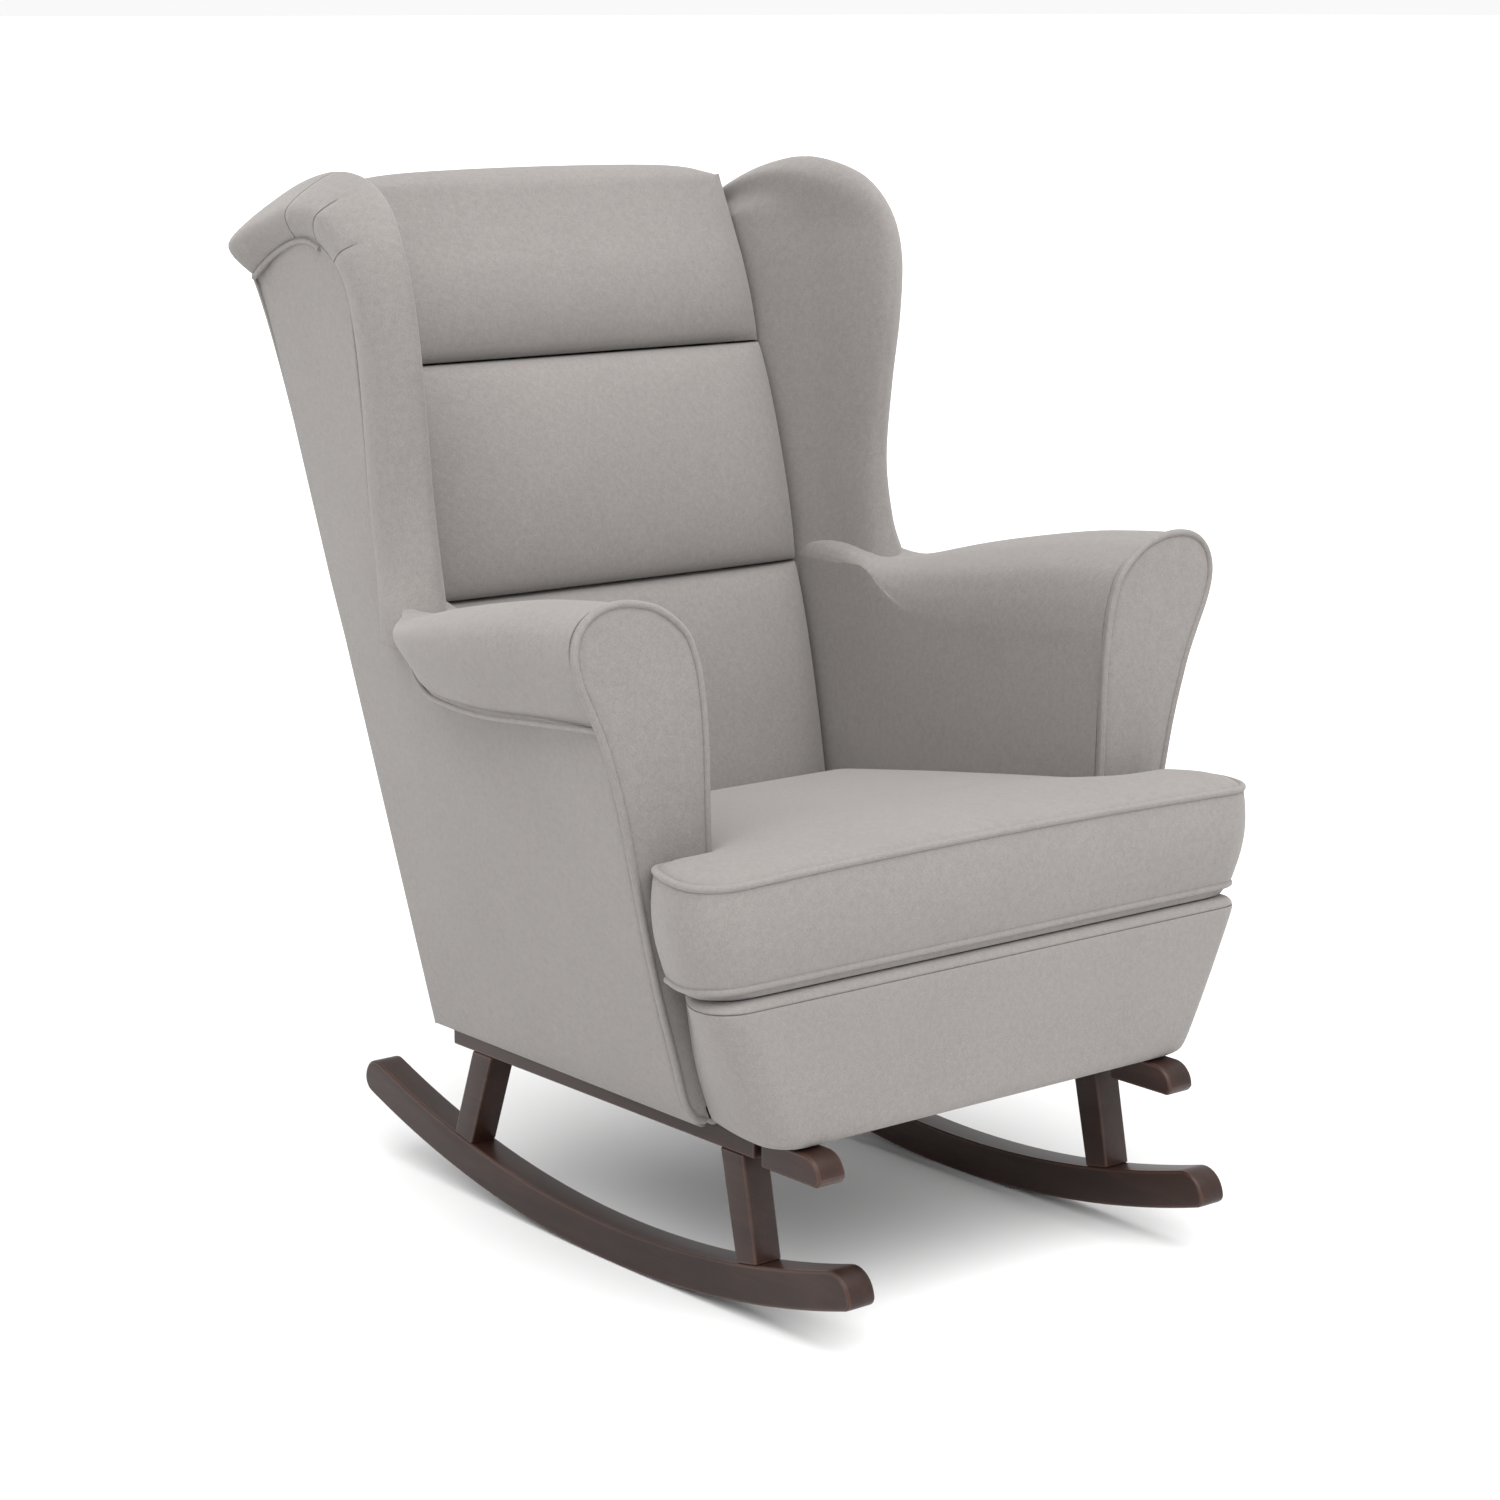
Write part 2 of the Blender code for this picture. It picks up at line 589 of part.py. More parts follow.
def apron_line(z, depth, setback=0.0, rear=APRON_REAR):
    """Plan line of the border at one height, a given depth inside its face."""
    half = interpolate(APRON_LEVELS, z) - depth
    rear_half = interpolate(APRON_LEVELS, z, 2) - depth
    radius = max(APRON_CORNER - depth, 0.010)
    return u_line(half, rear_half, APRON_FRONT + setback + depth, rear, radius)


def make_apron():
    """Padded front border on its bent board, both ending below the loose cushion."""
    rings = []
    for z, half, rear_half, setback in APRON_LEVELS:
        plan = apron_line(z, 0.0, setback) + apron_line(z, APRON_PAD)[::-1]
        rings.append([(x, y, min(z, deck_z(y) - 0.004)) for x, y in plan])
    loft("front_apron", rings, "grey_cloth")
    face = APRON_PAD + BOARD_CLEARANCE
    rings = []
    for z in (0.245, 0.290, 0.312):
        plan = apron_line(z, face, rear=BOARD_REAR)
        plan += apron_line(z, face + APRON_BOARD, rear=BOARD_REAR)[::-1]
        rings.append([(x, y, min(z, frame_top(y))) for x, y in plan])
    loft("apron_board", rings, "plywood")


# heights of the cushion's rings above the deck and how far each lies inside the widest one
CUSHION_LEVELS = [(0.0, 0.030), (0.004, 0.018), (0.012, 0.010), (0.048, 0.0), (0.084, 0.002),
                  (0.093, 0.006), (0.098, 0.014)]
CUSHION_TOP = 0.119
CROWN_INSET = 0.060         # how far the crown's flat top lies inside the outline
CUSHION_FRONT = -0.285
CUSHION_HALF = 0.351
CUSHION_EAR = 0.300         # half width where the ears meet the arms
CUSHION_REAR = 0.220
CUSHION_CORNER = 0.045


def cushion_plan(inset):
    """T-shaped outline: ears in front of the arms, body between them."""
    ear_rear = FRONT_PLANE - 0.0025 - 0.4 * inset
    narrow = INNER_X - 0.003 - 0.3 * inset
    rear = CUSHION_REAR - inset
    radius = max(CUSHION_CORNER - inset, 0.010)
    ear = u_line(CUSHION_HALF - inset, CUSHION_EAR - inset, CUSHION_FRONT + inset, ear_rear, radius)
    line = [(0.10, rear), (narrow - 0.02, rear), (narrow, rear - 0.02), (narrow, 0.03),
            (narrow, ear_rear), *ear[:len(ear) // 2], (0.10, CUSHION_FRONT + inset)]
    return line + [(-x, y) for x, y in reversed(line)]


def make_cushion():
    """Loose seat cushion, sheared to lie along the sloping deck, with a crowned top."""
    rings = []
    for height, inset in CUSHION_LEVELS:
        rings.append([(x, y, deck_z(y) + GAP + height) for x, y in cushion_plan(inset)])
    rings.append([(x, y, deck_z(y) + GAP + CUSHION_TOP) for x, y in cushion_plan(CROWN_INSET)])
    loft("seat_cushion", rings, "grey_cloth")


# ---------------------------------------------------------------- assembly
for leftover in list(bpy.data.objects):
    bpy.data.objects.remove(leftover, do_unlink=True)
chair_frame = bpy.data.objects.new("chair_frame", None)
chair_frame.location = (0.0, CONTACT_Y, 0.0)
bpy.context.collection.objects.link(chair_frame)

both_sides(make_base)
both_sides(make_side_rail)
make_seat_frame()
for spring_number, spring_x in enumerate(SPRING_PLACES, start=1):
    make_spring(spring_number, spring_x)
make_deck()
both_sides(make_post)
make_back_rails()
both_sides(make_side_boards)
both_sides(make_arm)
both_sides(make_wing)
make_pillows()
make_outer_back()
make_apron()
make_cushion()
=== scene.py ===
"""Looks of the upholstered wing-back rocking chair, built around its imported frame.

Every piece is modelled in the chair's own coordinates: x = 0 is the plane of symmetry, +X is the
sitter's left, -Y is the front, z = 0 the floor and y = 0 the line where the runners touch it.
"""
import json
import math

import bmesh
import bpy
import numpy as np
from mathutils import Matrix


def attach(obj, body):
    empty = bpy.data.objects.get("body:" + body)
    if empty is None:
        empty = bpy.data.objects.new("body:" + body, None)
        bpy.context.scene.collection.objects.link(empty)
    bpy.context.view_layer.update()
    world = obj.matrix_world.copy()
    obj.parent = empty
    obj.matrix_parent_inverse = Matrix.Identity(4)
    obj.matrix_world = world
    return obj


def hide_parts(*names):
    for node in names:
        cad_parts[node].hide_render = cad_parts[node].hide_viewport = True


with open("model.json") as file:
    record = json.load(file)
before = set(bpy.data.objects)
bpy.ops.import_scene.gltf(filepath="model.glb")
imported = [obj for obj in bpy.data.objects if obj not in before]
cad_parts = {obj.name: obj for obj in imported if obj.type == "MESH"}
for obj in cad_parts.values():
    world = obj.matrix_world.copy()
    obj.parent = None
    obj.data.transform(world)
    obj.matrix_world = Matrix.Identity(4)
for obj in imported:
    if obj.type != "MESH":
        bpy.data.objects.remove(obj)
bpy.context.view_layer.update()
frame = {"nodes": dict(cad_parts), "record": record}

SOLE = next(m for m in frame["record"]["mounts"] if m["name"] == "left_runner_sole")
CONTACT_Y = SOLE["pos_m"][1]

# ---------------------------------------------------------------- camera, measured from the chair
CAMERA_PLACE = (-2.187, -2.6145, 1.1751)
CAMERA_DOWN = 11.706         # degrees below level
CAMERA_TURN = 39.077         # degrees from straight ahead towards +X
CAMERA_LENS = 86.06          # millimetres
SENSOR_WIDTH = 36.0          # millimetres


def make_camera():
    """The camera that sees the chair as the photograph does."""
    data = bpy.data.cameras.new("camera")
    data.lens = CAMERA_LENS
    data.sensor_width = SENSOR_WIDTH
    camera = bpy.data.objects.new("camera", data)
    x, y, z = CAMERA_PLACE
    camera.location = (x, y + CONTACT_Y, z)
    camera.rotation_euler = (math.radians(90 - CAMERA_DOWN), 0.0, -math.radians(CAMERA_TURN))
    bpy.context.scene.collection.objects.link(camera)
    bpy.context.scene.camera = camera


# ---------------------------------------------------------------- numbers the chair is drawn from
FRONT_PLANE = -0.165         # front faces of the arms
INNER_X = 0.2455             # inner faces of the arms
BACK_HALF = 0.2412           # half width of the inner back
DECK_FRONT = 0.331           # height of the deck at the front border
DECK_SLOPE = 0.108
APRON_FRONT = -0.286
REAR_FOOT = 0.283            # y of the rear face at the foot of the upholstery
REAR_LEAN = 0.24
REAR_HALF = 0.244            # half width of the rear face at the same height
REAR_SPREAD = 0.0965
COVER_FOOT = 0.174           # height of the foot of the upholstery
SEAM_LOW = 0.597             # heights of the channels between the back pillows
SEAM_HIGH = 0.826
BACK_LOW, BACK_HIGH = 0.300, 1.001
PIPING = 0.0034              # radius of the piping cord in its cloth

# height, half width of the side at the front of the arms
FLARE = [(0.175, 0.250), (0.198, 0.268), (0.247, 0.284), (0.326, 0.306), (0.419, 0.327),
         (0.483, 0.341), (0.537, 0.355), (0.606, 0.370), (0.680, 0.376), (0.773, 0.376),
         (0.886, 0.379), (0.944, 0.386), (1.0, 0.390)]
# lines of the arm, y and height (ridge, crease) or y and half width (outer)
ARM_RIDGE = [(-0.165, 0.669), (-0.079, 0.662), (0.010, 0.648), (0.116, 0.626), (0.165, 0.6130),
             (0.190, 0.6095), (0.205, 0.6130), (0.225, 0.6220), (0.300, 0.6280)]
ARM_OUTER = [(-0.165, 0.392), (-0.060, 0.389), (0.050, 0.383), (0.120, 0.374), (0.165, 0.360),
             (0.190, 0.342), (0.206, 0.324), (0.235, 0.306), (0.300, 0.296)]
ARM_CREASE = [(-0.165, 0.560), (-0.058, 0.551), (0.043, 0.544), (0.110, 0.546), (0.150, 0.557),
              (0.180, 0.580), (0.205, 0.592), (0.300, 0.592)]
# height, y of the inner back at its channels and edges
BACK_EDGE = [(BACK_LOW, 0.236), (0.370, 0.248), (SEAM_LOW, 0.295), (SEAM_HIGH, 0.357),
             (BACK_HIGH, 0.428)]


def smooth(table, value, column=1):
    """Smooth value of one column of a sorted table, without overshoot."""
    xs = np.array([row[0] for row in table])
    ys = np.array([row[column] for row in table])
    value = np.clip(np.asarray(value, float), xs[0], xs[-1])
    slope = np.diff(ys) / np.diff(xs)
    tangent = np.zeros(len(xs))
    tangent[0], tangent[-1] = slope[0], slope[-1]
    same = slope[:-1] * slope[1:] > 0
    total = np.where(same, slope[:-1] + slope[1:], 1.0)
    tangent[1:-1] = np.where(same, 2 * slope[:-1] * slope[1:] / total, 0.0)
    k = np.clip(np.searchsorted(xs, value) - 1, 0, len(xs) - 2)
    width = xs[k + 1] - xs[k]
    t = (value - xs[k]) / width
    return ((2 * t**3 - 3 * t**2 + 1) * ys[k] + (t**3 - 2 * t**2 + t) * width * tangent[k]
            + (3 * t**2 - 2 * t**3) * ys[k + 1] + (t**3 - t**2) * width * tangent[k + 1])


def deck_z(y):
    """Height of the sloping deck."""
    return DECK_FRONT - DECK_SLOPE * (y - APRON_FRONT)


def rear_y(z):
    """The chair's rear face."""
    return REAR_FOOT + REAR_LEAN * (z - COVER_FOOT)


def rear_width(z):
    """Half width of the rear face."""
    return REAR_HALF + REAR_SPREAD * (z - COVER_FOOT)


def side_x(y, z):
    """Outer side, a straight line from the flared front to the rear face."""
    share = (y - FRONT_PLANE) / (rear_y(z) - FRONT_PLANE)
    front = smooth(FLARE, z)
    return front + share * (rear_width(z) - front)


def back_y(z):
    """Line that the back pillows are sewn down to."""
    return smooth(BACK_EDGE, z)


# ---------------------------------------------------------------- mesh helpers
def spline(points, per_span, closed=False):
    """Smooth curve through points (any number of columns), per_span steps in each span."""
    points = np.asarray(points, float)
    count = len(points)
    spans = count if closed else count - 1
    out = []
    for k in range(spans):
        if closed:
            p0, p1, p2, p3 = (points[(k + j) % count] for j in (-1, 0, 1, 2))
        else:
            p1, p2 = points[k], points[k + 1]
            p0 = points[k - 1] if k else 2 * p1 - p2
            p3 = points[k + 2] if k + 2 < count else 2 * p2 - p1
        for step in range(per_span):
            t = step / per_span
            out.append(0.5 * (2 * p1 + (p2 - p0) * t + (2 * p0 - 5 * p1 + 4 * p2 - p3) * t * t
                              + (3 * p1 - p0 - 3 * p2 + p3) * t**3))
    if not closed:
        out.append(points[-1])
    return np.array(out)


def spline_net(net, row_steps, column_steps, closed_columns=True):
    """Fine grid through a control net of shape (rows, columns, 3)."""
    net = np.asarray(net, float)
    rows = spline(net, row_steps)
    return np.array([spline(row, column_steps, closed_columns) for row in rows])


def finish_mesh(name, mesh, material, side, smooth_angle=50):
    """Turns a bmesh in chair coordinates into a smooth-shaded object in place."""
    for vertex in mesh.verts:
        vertex.co.x *= side
        vertex.co.y += CONTACT_Y
    bmesh.ops.recalc_face_normals(mesh, faces=mesh.faces)
    data = bpy.data.meshes.new(name)
    mesh.to_mesh(data)
    mesh.free()
    data.shade_smooth()
    data.set_sharp_from_angle(angle=math.radians(smooth_angle))
    data.materials.append(material)
    piece = bpy.data.objects.new(name, data)
    bpy.context.scene.collection.objects.link(piece)
    return piece


def grid_mesh(grid, wrap=True, caps=True):
    """bmesh through a grid of points (rows, columns, 3); wrap joins the last column to the first."""
    mesh = bmesh.new()
    rows = [[mesh.verts.new(p) for p in row] for row in grid]
    columns = len(rows[0])
    last = columns if wrap else columns - 1
    for lower, upper in zip(rows, rows[1:]):
        for k in range(last):
            after = (k + 1) % columns
            mesh.faces.new((lower[k], lower[after], upper[after], upper[k]))
    if caps:
        for row in (rows[0], rows[-1]):
            centre = mesh.verts.new(sum((v.co for v in row), row[0].co * 0) / columns)
            for k in range(columns):
                mesh.faces.new((row[k], row[(k + 1) % columns], centre))
    return mesh


ODD_DIRECTION = (0.31, 0.17, 0.94)      # not along any cord of the chair


def cord_mesh(path, radius, closed=False, sides=10):
    """Tube of round section along a path of points."""
    path = np.asarray(path, float)
    if closed:
        ahead, behind = np.roll(path, -1, 0), np.roll(path, 1, 0)
    else:
        ahead = np.vstack([path[1:], path[-1:]])
        behind = np.vstack([path[:1], path[:-1]])
    heading = ahead - behind
    heading /= np.linalg.norm(heading, axis=1)[:, None]
    across = np.cross(heading[0], ODD_DIRECTION)
    grid = []
    for point, along in zip(path, heading):
        across = across - along * across.dot(along)
        across /= np.linalg.norm(across)
        up = np.cross(along, across)
        turns = np.arange(sides) * math.tau / sides
        grid.append([point + radius * (math.cos(a) * across + math.sin(a) * up) for a in turns])
    if closed:
        grid.append(grid[0])
        mesh = grid_mesh(np.array(grid), caps=False)
        bmesh.ops.remove_doubles(mesh, verts=mesh.verts, dist=1e-6)
        return mesh
    return grid_mesh(np.array(grid))


def even_steps(path, step):
    """The same path with points about one step apart."""
    path = np.asarray(path, float)
    lengths = np.concatenate([[0], np.cumsum(np.linalg.norm(np.diff(path, axis=0), axis=1))])
    count = max(2, int(round(lengths[-1] / step)) + 1)
    marks = np.linspace(0, lengths[-1], count)
    return np.column_stack([np.interp(marks, lengths, path[:, k]) for k in range(3)])


def both_sides(make):
    """Makes a piece on the left, and its mirror image on the right."""
    for side, word in ((1, "left"), (-1, "right")):
        make(side, word)


# ---------------------------------------------------------------- materials
NAP_ROUGHNESS = 0.45
NAP_TINT = (0.95, 0.92, 0.90)


def new_material(name, colour, roughness, sheen=0.0):
    """Plain material, with its nodes, links and main shader; sheen gives it a nap."""
    made = bpy.data.materials.new(name)
    made.use_nodes = True
    nodes, links = made.node_tree.nodes, made.node_tree.links
    shader = nodes["Principled BSDF"]
    shader.inputs["Base Color"].default_value = (*colour, 1.0)
    shader.inputs["Roughness"].default_value = roughness
    if sheen:
        shader.inputs["Sheen Weight"].default_value = sheen
        shader.inputs["Sheen Roughness"].default_value = NAP_ROUGHNESS
        shader.inputs["Sheen Tint"].default_value = (*NAP_TINT, 1.0)
    return made, nodes, links, shader


def math_node(nodes, links, operation, *values):
    """Output of a new maths node; each value is a number or the output of another node."""
    node = nodes.new("ShaderNodeMath")
    node.operation = operation
    for socket, value in zip(node.inputs, values):
        if isinstance(value, (int, float)):
            socket.default_value = value
        else:
            links.new(value, socket)
    return node.outputs[0]


def noise_node(nodes, links, place, scale, detail=2.0, roughness=0.5):
    """Output of a new noise over a place."""
    node = nodes.new("ShaderNodeTexNoise")
    node.inputs["Scale"].default_value = scale
    node.inputs["Detail"].default_value = detail
    node.inputs["Roughness"].default_value = roughness
    links.new(place, node.inputs["Vector"])
    return node.outputs["Fac"]


def plain_weave(nodes, links, first, second, pitch):
    """Height of a plain weave over two coordinates: product of two thread waves."""
    waves = []
    for socket in (first, second):
        turned = math_node(nodes, links, "MULTIPLY", socket, math.pi / pitch)
        waves.append(math_node(nodes, links, "SINE", turned))
    product = math_node(nodes, links, "MULTIPLY", *waves)
    return math_node(nodes, links, "ABSOLUTE", product)


CLOTH = (0.203, 0.189, 0.179)
CLOTH_ROUGHNESS = 0.93
CLOTH_NAP = 0.22
THREAD_PITCH = 0.0011
THREAD_WANDER = 0.0011       # how far the threads stray from straight lines
WANDER_SCALE = 160.0
FACING_POWER = 6.0           # how sharply the weave changes over from one plane to the next
WEAVE_SHADE, THREAD_GAP_SHADE = 0.24, 0.90
# scale, detail, roughness, and how much each noise changes the shade
FUZZ = (900.0, 3.0, 0.6, 0.60)
SLUB = (170.0, 3.0, 0.65, 0.34)
CLOUD = (9.0, 3.0, 0.6, 0.12)
WEAVE_RELIEF, FUZZ_RELIEF, SLUB_RELIEF = 0.6, 0.6, 0.5


def make_cloth(name, colour):
    """Matt, fine plain-woven cloth with a soft nap and slightly uneven yarn."""
    made, nodes, links, shader = new_material(name, colour, CLOTH_ROUGHNESS, CLOTH_NAP)
    place = nodes.new("ShaderNodeTexCoord").outputs["Object"]
    normal = nodes.new("ShaderNodeNewGeometry").outputs["Normal"]
    wobble = nodes.new("ShaderNodeTexNoise")
    wobble.inputs["Scale"].default_value = WANDER_SCALE
    links.new(place, wobble.inputs["Vector"])
    bend = nodes.new("ShaderNodeVectorMath")
    bend.operation = "MULTIPLY_ADD"
    bend.inputs[1].default_value = (THREAD_WANDER,) * 3
    links.new(wobble.outputs["Color"], bend.inputs[0])
    links.new(place, bend.inputs[2])
    where = nodes.new("ShaderNodeSeparateXYZ")
    facing = nodes.new("ShaderNodeSeparateXYZ")
    links.new(bend.outputs[0], where.inputs[0])
    links.new(normal, facing.inputs[0])
    height, total = 0.0, 0.0
    for axis, pair in ((0, (1, 2)), (1, (0, 2)), (2, (0, 1))):
        size = math_node(nodes, links, "ABSOLUTE", facing.outputs[axis])
        weight = math_node(nodes, links, "POWER", size, FACING_POWER)
        woven = plain_weave(nodes, links, where.outputs[pair[0]], where.outputs[pair[1]],
                            THREAD_PITCH)
        height = math_node(nodes, links, "ADD", height,
                           math_node(nodes, links, "MULTIPLY", woven, weight))
        total = math_node(nodes, links, "ADD", total, weight)
    woven = math_node(nodes, links, "DIVIDE", height, total)
    fuzz, slub, cloud = (noise_node(nodes, links, place, *n[:3]) for n in (FUZZ, SLUB, CLOUD))
    shade = math_node(nodes, links, "MULTIPLY_ADD", woven, WEAVE_SHADE, THREAD_GAP_SHADE)
    for noise, strength in ((fuzz, FUZZ[3]), (slub, SLUB[3]), (cloud, CLOUD[3])):
        centred = math_node(nodes, links, "SUBTRACT", noise, 0.5)
        scaled = math_node(nodes, links, "MULTIPLY", centred, strength)
        shade = math_node(nodes, links, "ADD", shade, scaled)
    tint = nodes.new("ShaderNodeVectorMath")
    tint.operation = "SCALE"
    tint.inputs[0].default_value = colour
    links.new(shade, tint.inputs["Scale"])
    links.new(tint.outputs[0], shader.inputs["Base Color"])
    relief = math_node(nodes, links, "ADD", math_node(nodes, links, "MULTIPLY", woven, WEAVE_RELIEF),
                       math_node(nodes, links, "MULTIPLY", fuzz, FUZZ_RELIEF))
    relief = math_node(nodes, links, "ADD", relief,
                       math_node(nodes, links, "MULTIPLY", slub, SLUB_RELIEF))
    bump = nodes.new("ShaderNodeBump")
    bump.inputs["Strength"].default_value = 0.55
    bump.inputs["Distance"].default_value = 0.0005
    links.new(relief, bump.inputs["Height"])
    links.new(bump.outputs[0], shader.inputs["Normal"])
    return made


GRAIN_STRETCH = (1.0, 0.06, 1.0)
BROAD_GRAIN, FINE_GRAIN, GRAIN_CLOUD = 0.5, 0.35, 0.3
GRAIN_DARK_AT, GRAIN_LIGHT_AT = 0.38, 0.78


def make_wood(name, dark, light, roughness):
    """Stained hardwood with grain along Y and a thin satin lacquer."""
    made, nodes, links, shader = new_material(name, dark, roughness)
    shader.inputs["Specular IOR Level"].default_value = 0.28
    shader.inputs["Coat Weight"].default_value = 0.06
    shader.inputs["Coat Roughness"].default_value = 0.22
    place = nodes.new("ShaderNodeTexCoord").outputs["Object"]
    stretch = nodes.new("ShaderNodeMapping")
    stretch.inputs["Scale"].default_value = GRAIN_STRETCH
    links.new(place, stretch.inputs["Vector"])
    broad = noise_node(nodes, links, stretch.outputs[0], 55.0, 4.0, 0.6)
    fine = noise_node(nodes, links, stretch.outputs[0], 420.0, 4.0, 0.7)
    cloud = noise_node(nodes, links, place, 14.0, 2.0, 0.5)
    grain = math_node(nodes, links, "ADD", math_node(nodes, links, "MULTIPLY", broad, BROAD_GRAIN),
                      math_node(nodes, links, "MULTIPLY", fine, FINE_GRAIN))
    grain = math_node(nodes, links, "ADD", grain,
                      math_node(nodes, links, "MULTIPLY", cloud, GRAIN_CLOUD))
    ramp = nodes.new("ShaderNodeValToRGB")
    stops = ((GRAIN_DARK_AT, dark), (GRAIN_LIGHT_AT, light))
    for element, (position, shade) in zip(ramp.color_ramp.elements, stops):
        element.position = position
        element.color = (*shade, 1.0)
    links.new(grain, ramp.inputs[0])
    links.new(ramp.outputs[0], shader.inputs["Base Color"])
    bump = nodes.new("ShaderNodeBump")
    bump.inputs["Strength"].default_value = 0.25
    bump.inputs["Distance"].default_value = 0.0004
    links.new(grain, bump.inputs["Height"])
    links.new(bump.outputs[0], shader.inputs["Normal"])
    return made


STREAK_DEPTH = 0.22          # roughness that the strongest streak adds
STREAK_FLOOR = 0.24          # roughness without any streak


def make_steel(name, colour):
    """Drawn steel with faint streaks."""
    made, nodes, links, shader = new_material(name, colour, 0.34)
    shader.inputs["Metallic"].default_value = 1.0
    place = nodes.new("ShaderNodeTexCoord").outputs["Object"]
    streaks = noise_node(nodes, links, place, 300.0, 3.0, 0.6)
    rough = math_node(nodes, links, "MULTIPLY_ADD", streaks, STREAK_DEPTH, STREAK_FLOOR)
    links.new(rough, shader.inputs["Roughness"])
    return made


MATERIALS = {
    "cloth": make_cloth("grey_cloth", CLOTH),
    "felt": make_cloth("grey_felt", (0.16, 0.155, 0.15)),
    "webbing": make_cloth("black_webbing", (0.045, 0.042, 0.040)),
    "dust_cloth": make_cloth("black_dust_cloth", (0.018, 0.018, 0.018)),
    "steel": make_steel("drawn_steel", (0.42, 0.42, 0.43)),
    "walnut": make_wood("walnut_stain", (0.0085, 0.0034, 0.0024), (0.034, 0.0145, 0.0098), 0.42),
    "walnut_edge": make_wood("walnut_edge", (0.022, 0.0095, 0.0065), (0.062, 0.030, 0.021), 0.36),
    "timber": make_wood("plain_timber", (0.42, 0.29, 0.16), (0.66, 0.50, 0.31), 0.65),
    "plywood": make_wood("plywood", (0.50, 0.37, 0.22), (0.70, 0.56, 0.37), 0.65),
}


def dress(piece, node=None, body="chair"):
    """Puts a finished piece on its body, in place of the CAD node it stands for."""
    if node:
        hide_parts(node)
    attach(piece, body)


# ---------------------------------------------------------------- wooden base
ROCKER_RADIUS = 1.22
RUNNER_HEIGHT = 0.037
BASE_INNER, BASE_OUTER = 0.206, 0.2375
RAIL_BOTTOM, FRAME_BOTTOM = 0.158, 0.180
RAIL_FRONT, RAIL_REAR, RAIL_INNER = -0.218, 0.258, 0.198
NOSE_BOTTOM, NOSE_TOP, NOSE_REAR, NOSE_INNER = 0.152, 0.1795, -0.226, 0.204
NOSE_ROUND, NOSE_CENTRE = 0.022, (-0.286, 0.1575)
SOLE_FRONT, SOLE_REAR = -0.2717, 0.3357     # angles, in radians, where the ends begin
NOSE_LENGTH, TAIL_LENGTH = 0.0272, 0.0258
LEGS = {"front": ((-0.203, -0.170), (-0.222, -0.193)), "rear": ((0.193, 0.225), (0.230, 0.259))}


def on_arc(angle, radius):
    """Point (y, z) on a circle about the centre of the rocking arc."""
    return radius * math.sin(angle), ROCKER_RADIUS - radius * math.cos(angle)


def runner_top(y):
    """Height of the runner's top under a leg."""
    radius = ROCKER_RADIUS - RUNNER_HEIGHT
    return ROCKER_RADIUS - math.sqrt(radius * radius - y * y)


def rounded_end(length, sole_radius, top_radius):
    """A runner's end as (length past the start, depth above the sole)."""
    points = []
    for k in range(7):
        a = math.pi / 2 * k / 6
        points.append((length - sole_radius * (1 - math.sin(a)), sole_radius * (1 - math.cos(a))))
    for k in range(9):
        a = math.pi / 2 * k / 8
        points.append((length - top_radius * (1 - math.cos(a)),
                       RUNNER_HEIGHT - top_radius * (1 - math.sin(a))))
    return points


def runner_outline():
    """Outline (y, z) of a runner."""
    angles = np.linspace(SOLE_FRONT, SOLE_REAR, 60)
    outline = [on_arc(a, ROCKER_RADIUS) for a in angles]
    for past, depth in rounded_end(TAIL_LENGTH, 0.016, 0.019):
        outline.append(on_arc(SOLE_REAR + past / ROCKER_RADIUS, ROCKER_RADIUS - depth))
    outline += [on_arc(a, ROCKER_RADIUS - RUNNER_HEIGHT) for a in angles[::-1]]
    for past, depth in reversed(rounded_end(NOSE_LENGTH, 0.009, 0.024)):
        outline.append(on_arc(SOLE_FRONT - past / ROCKER_RADIUS, ROCKER_RADIUS - depth))
    return outline


def timber(name, outline, inner, outer, side, round_edge=0.0022):
    """Wooden bar with an outline in (y, z), thickness along x and softened, worn edges."""
    rings = [[(x, y, z) for y, z in outline] for x in (inner, outer)]
    mesh = bmesh.new()
    rows = [[mesh.verts.new(p) for p in ring] for ring in rings]
    count = len(outline)
    for k in range(count):
        after = (k + 1) % count
        mesh.faces.new((rows[0][k], rows[0][after], rows[1][after], rows[1][k]))
    mesh.faces.new(rows[0])
    mesh.faces.new(rows[1])
    bmesh.ops.recalc_face_normals(mesh, faces=mesh.faces)
    edges = [e for e in mesh.edges if e.calc_face_angle(0) > math.radians(35)]
    bmesh.ops.bevel(mesh, geom=edges, offset=round_edge, segments=3, profile=0.6, affect="EDGES",
                    material=1)
    piece = finish_mesh(name, mesh, MATERIALS["walnut"], side, 30)
    piece.data.materials.append(MATERIALS["walnut_edge"])
    return piece


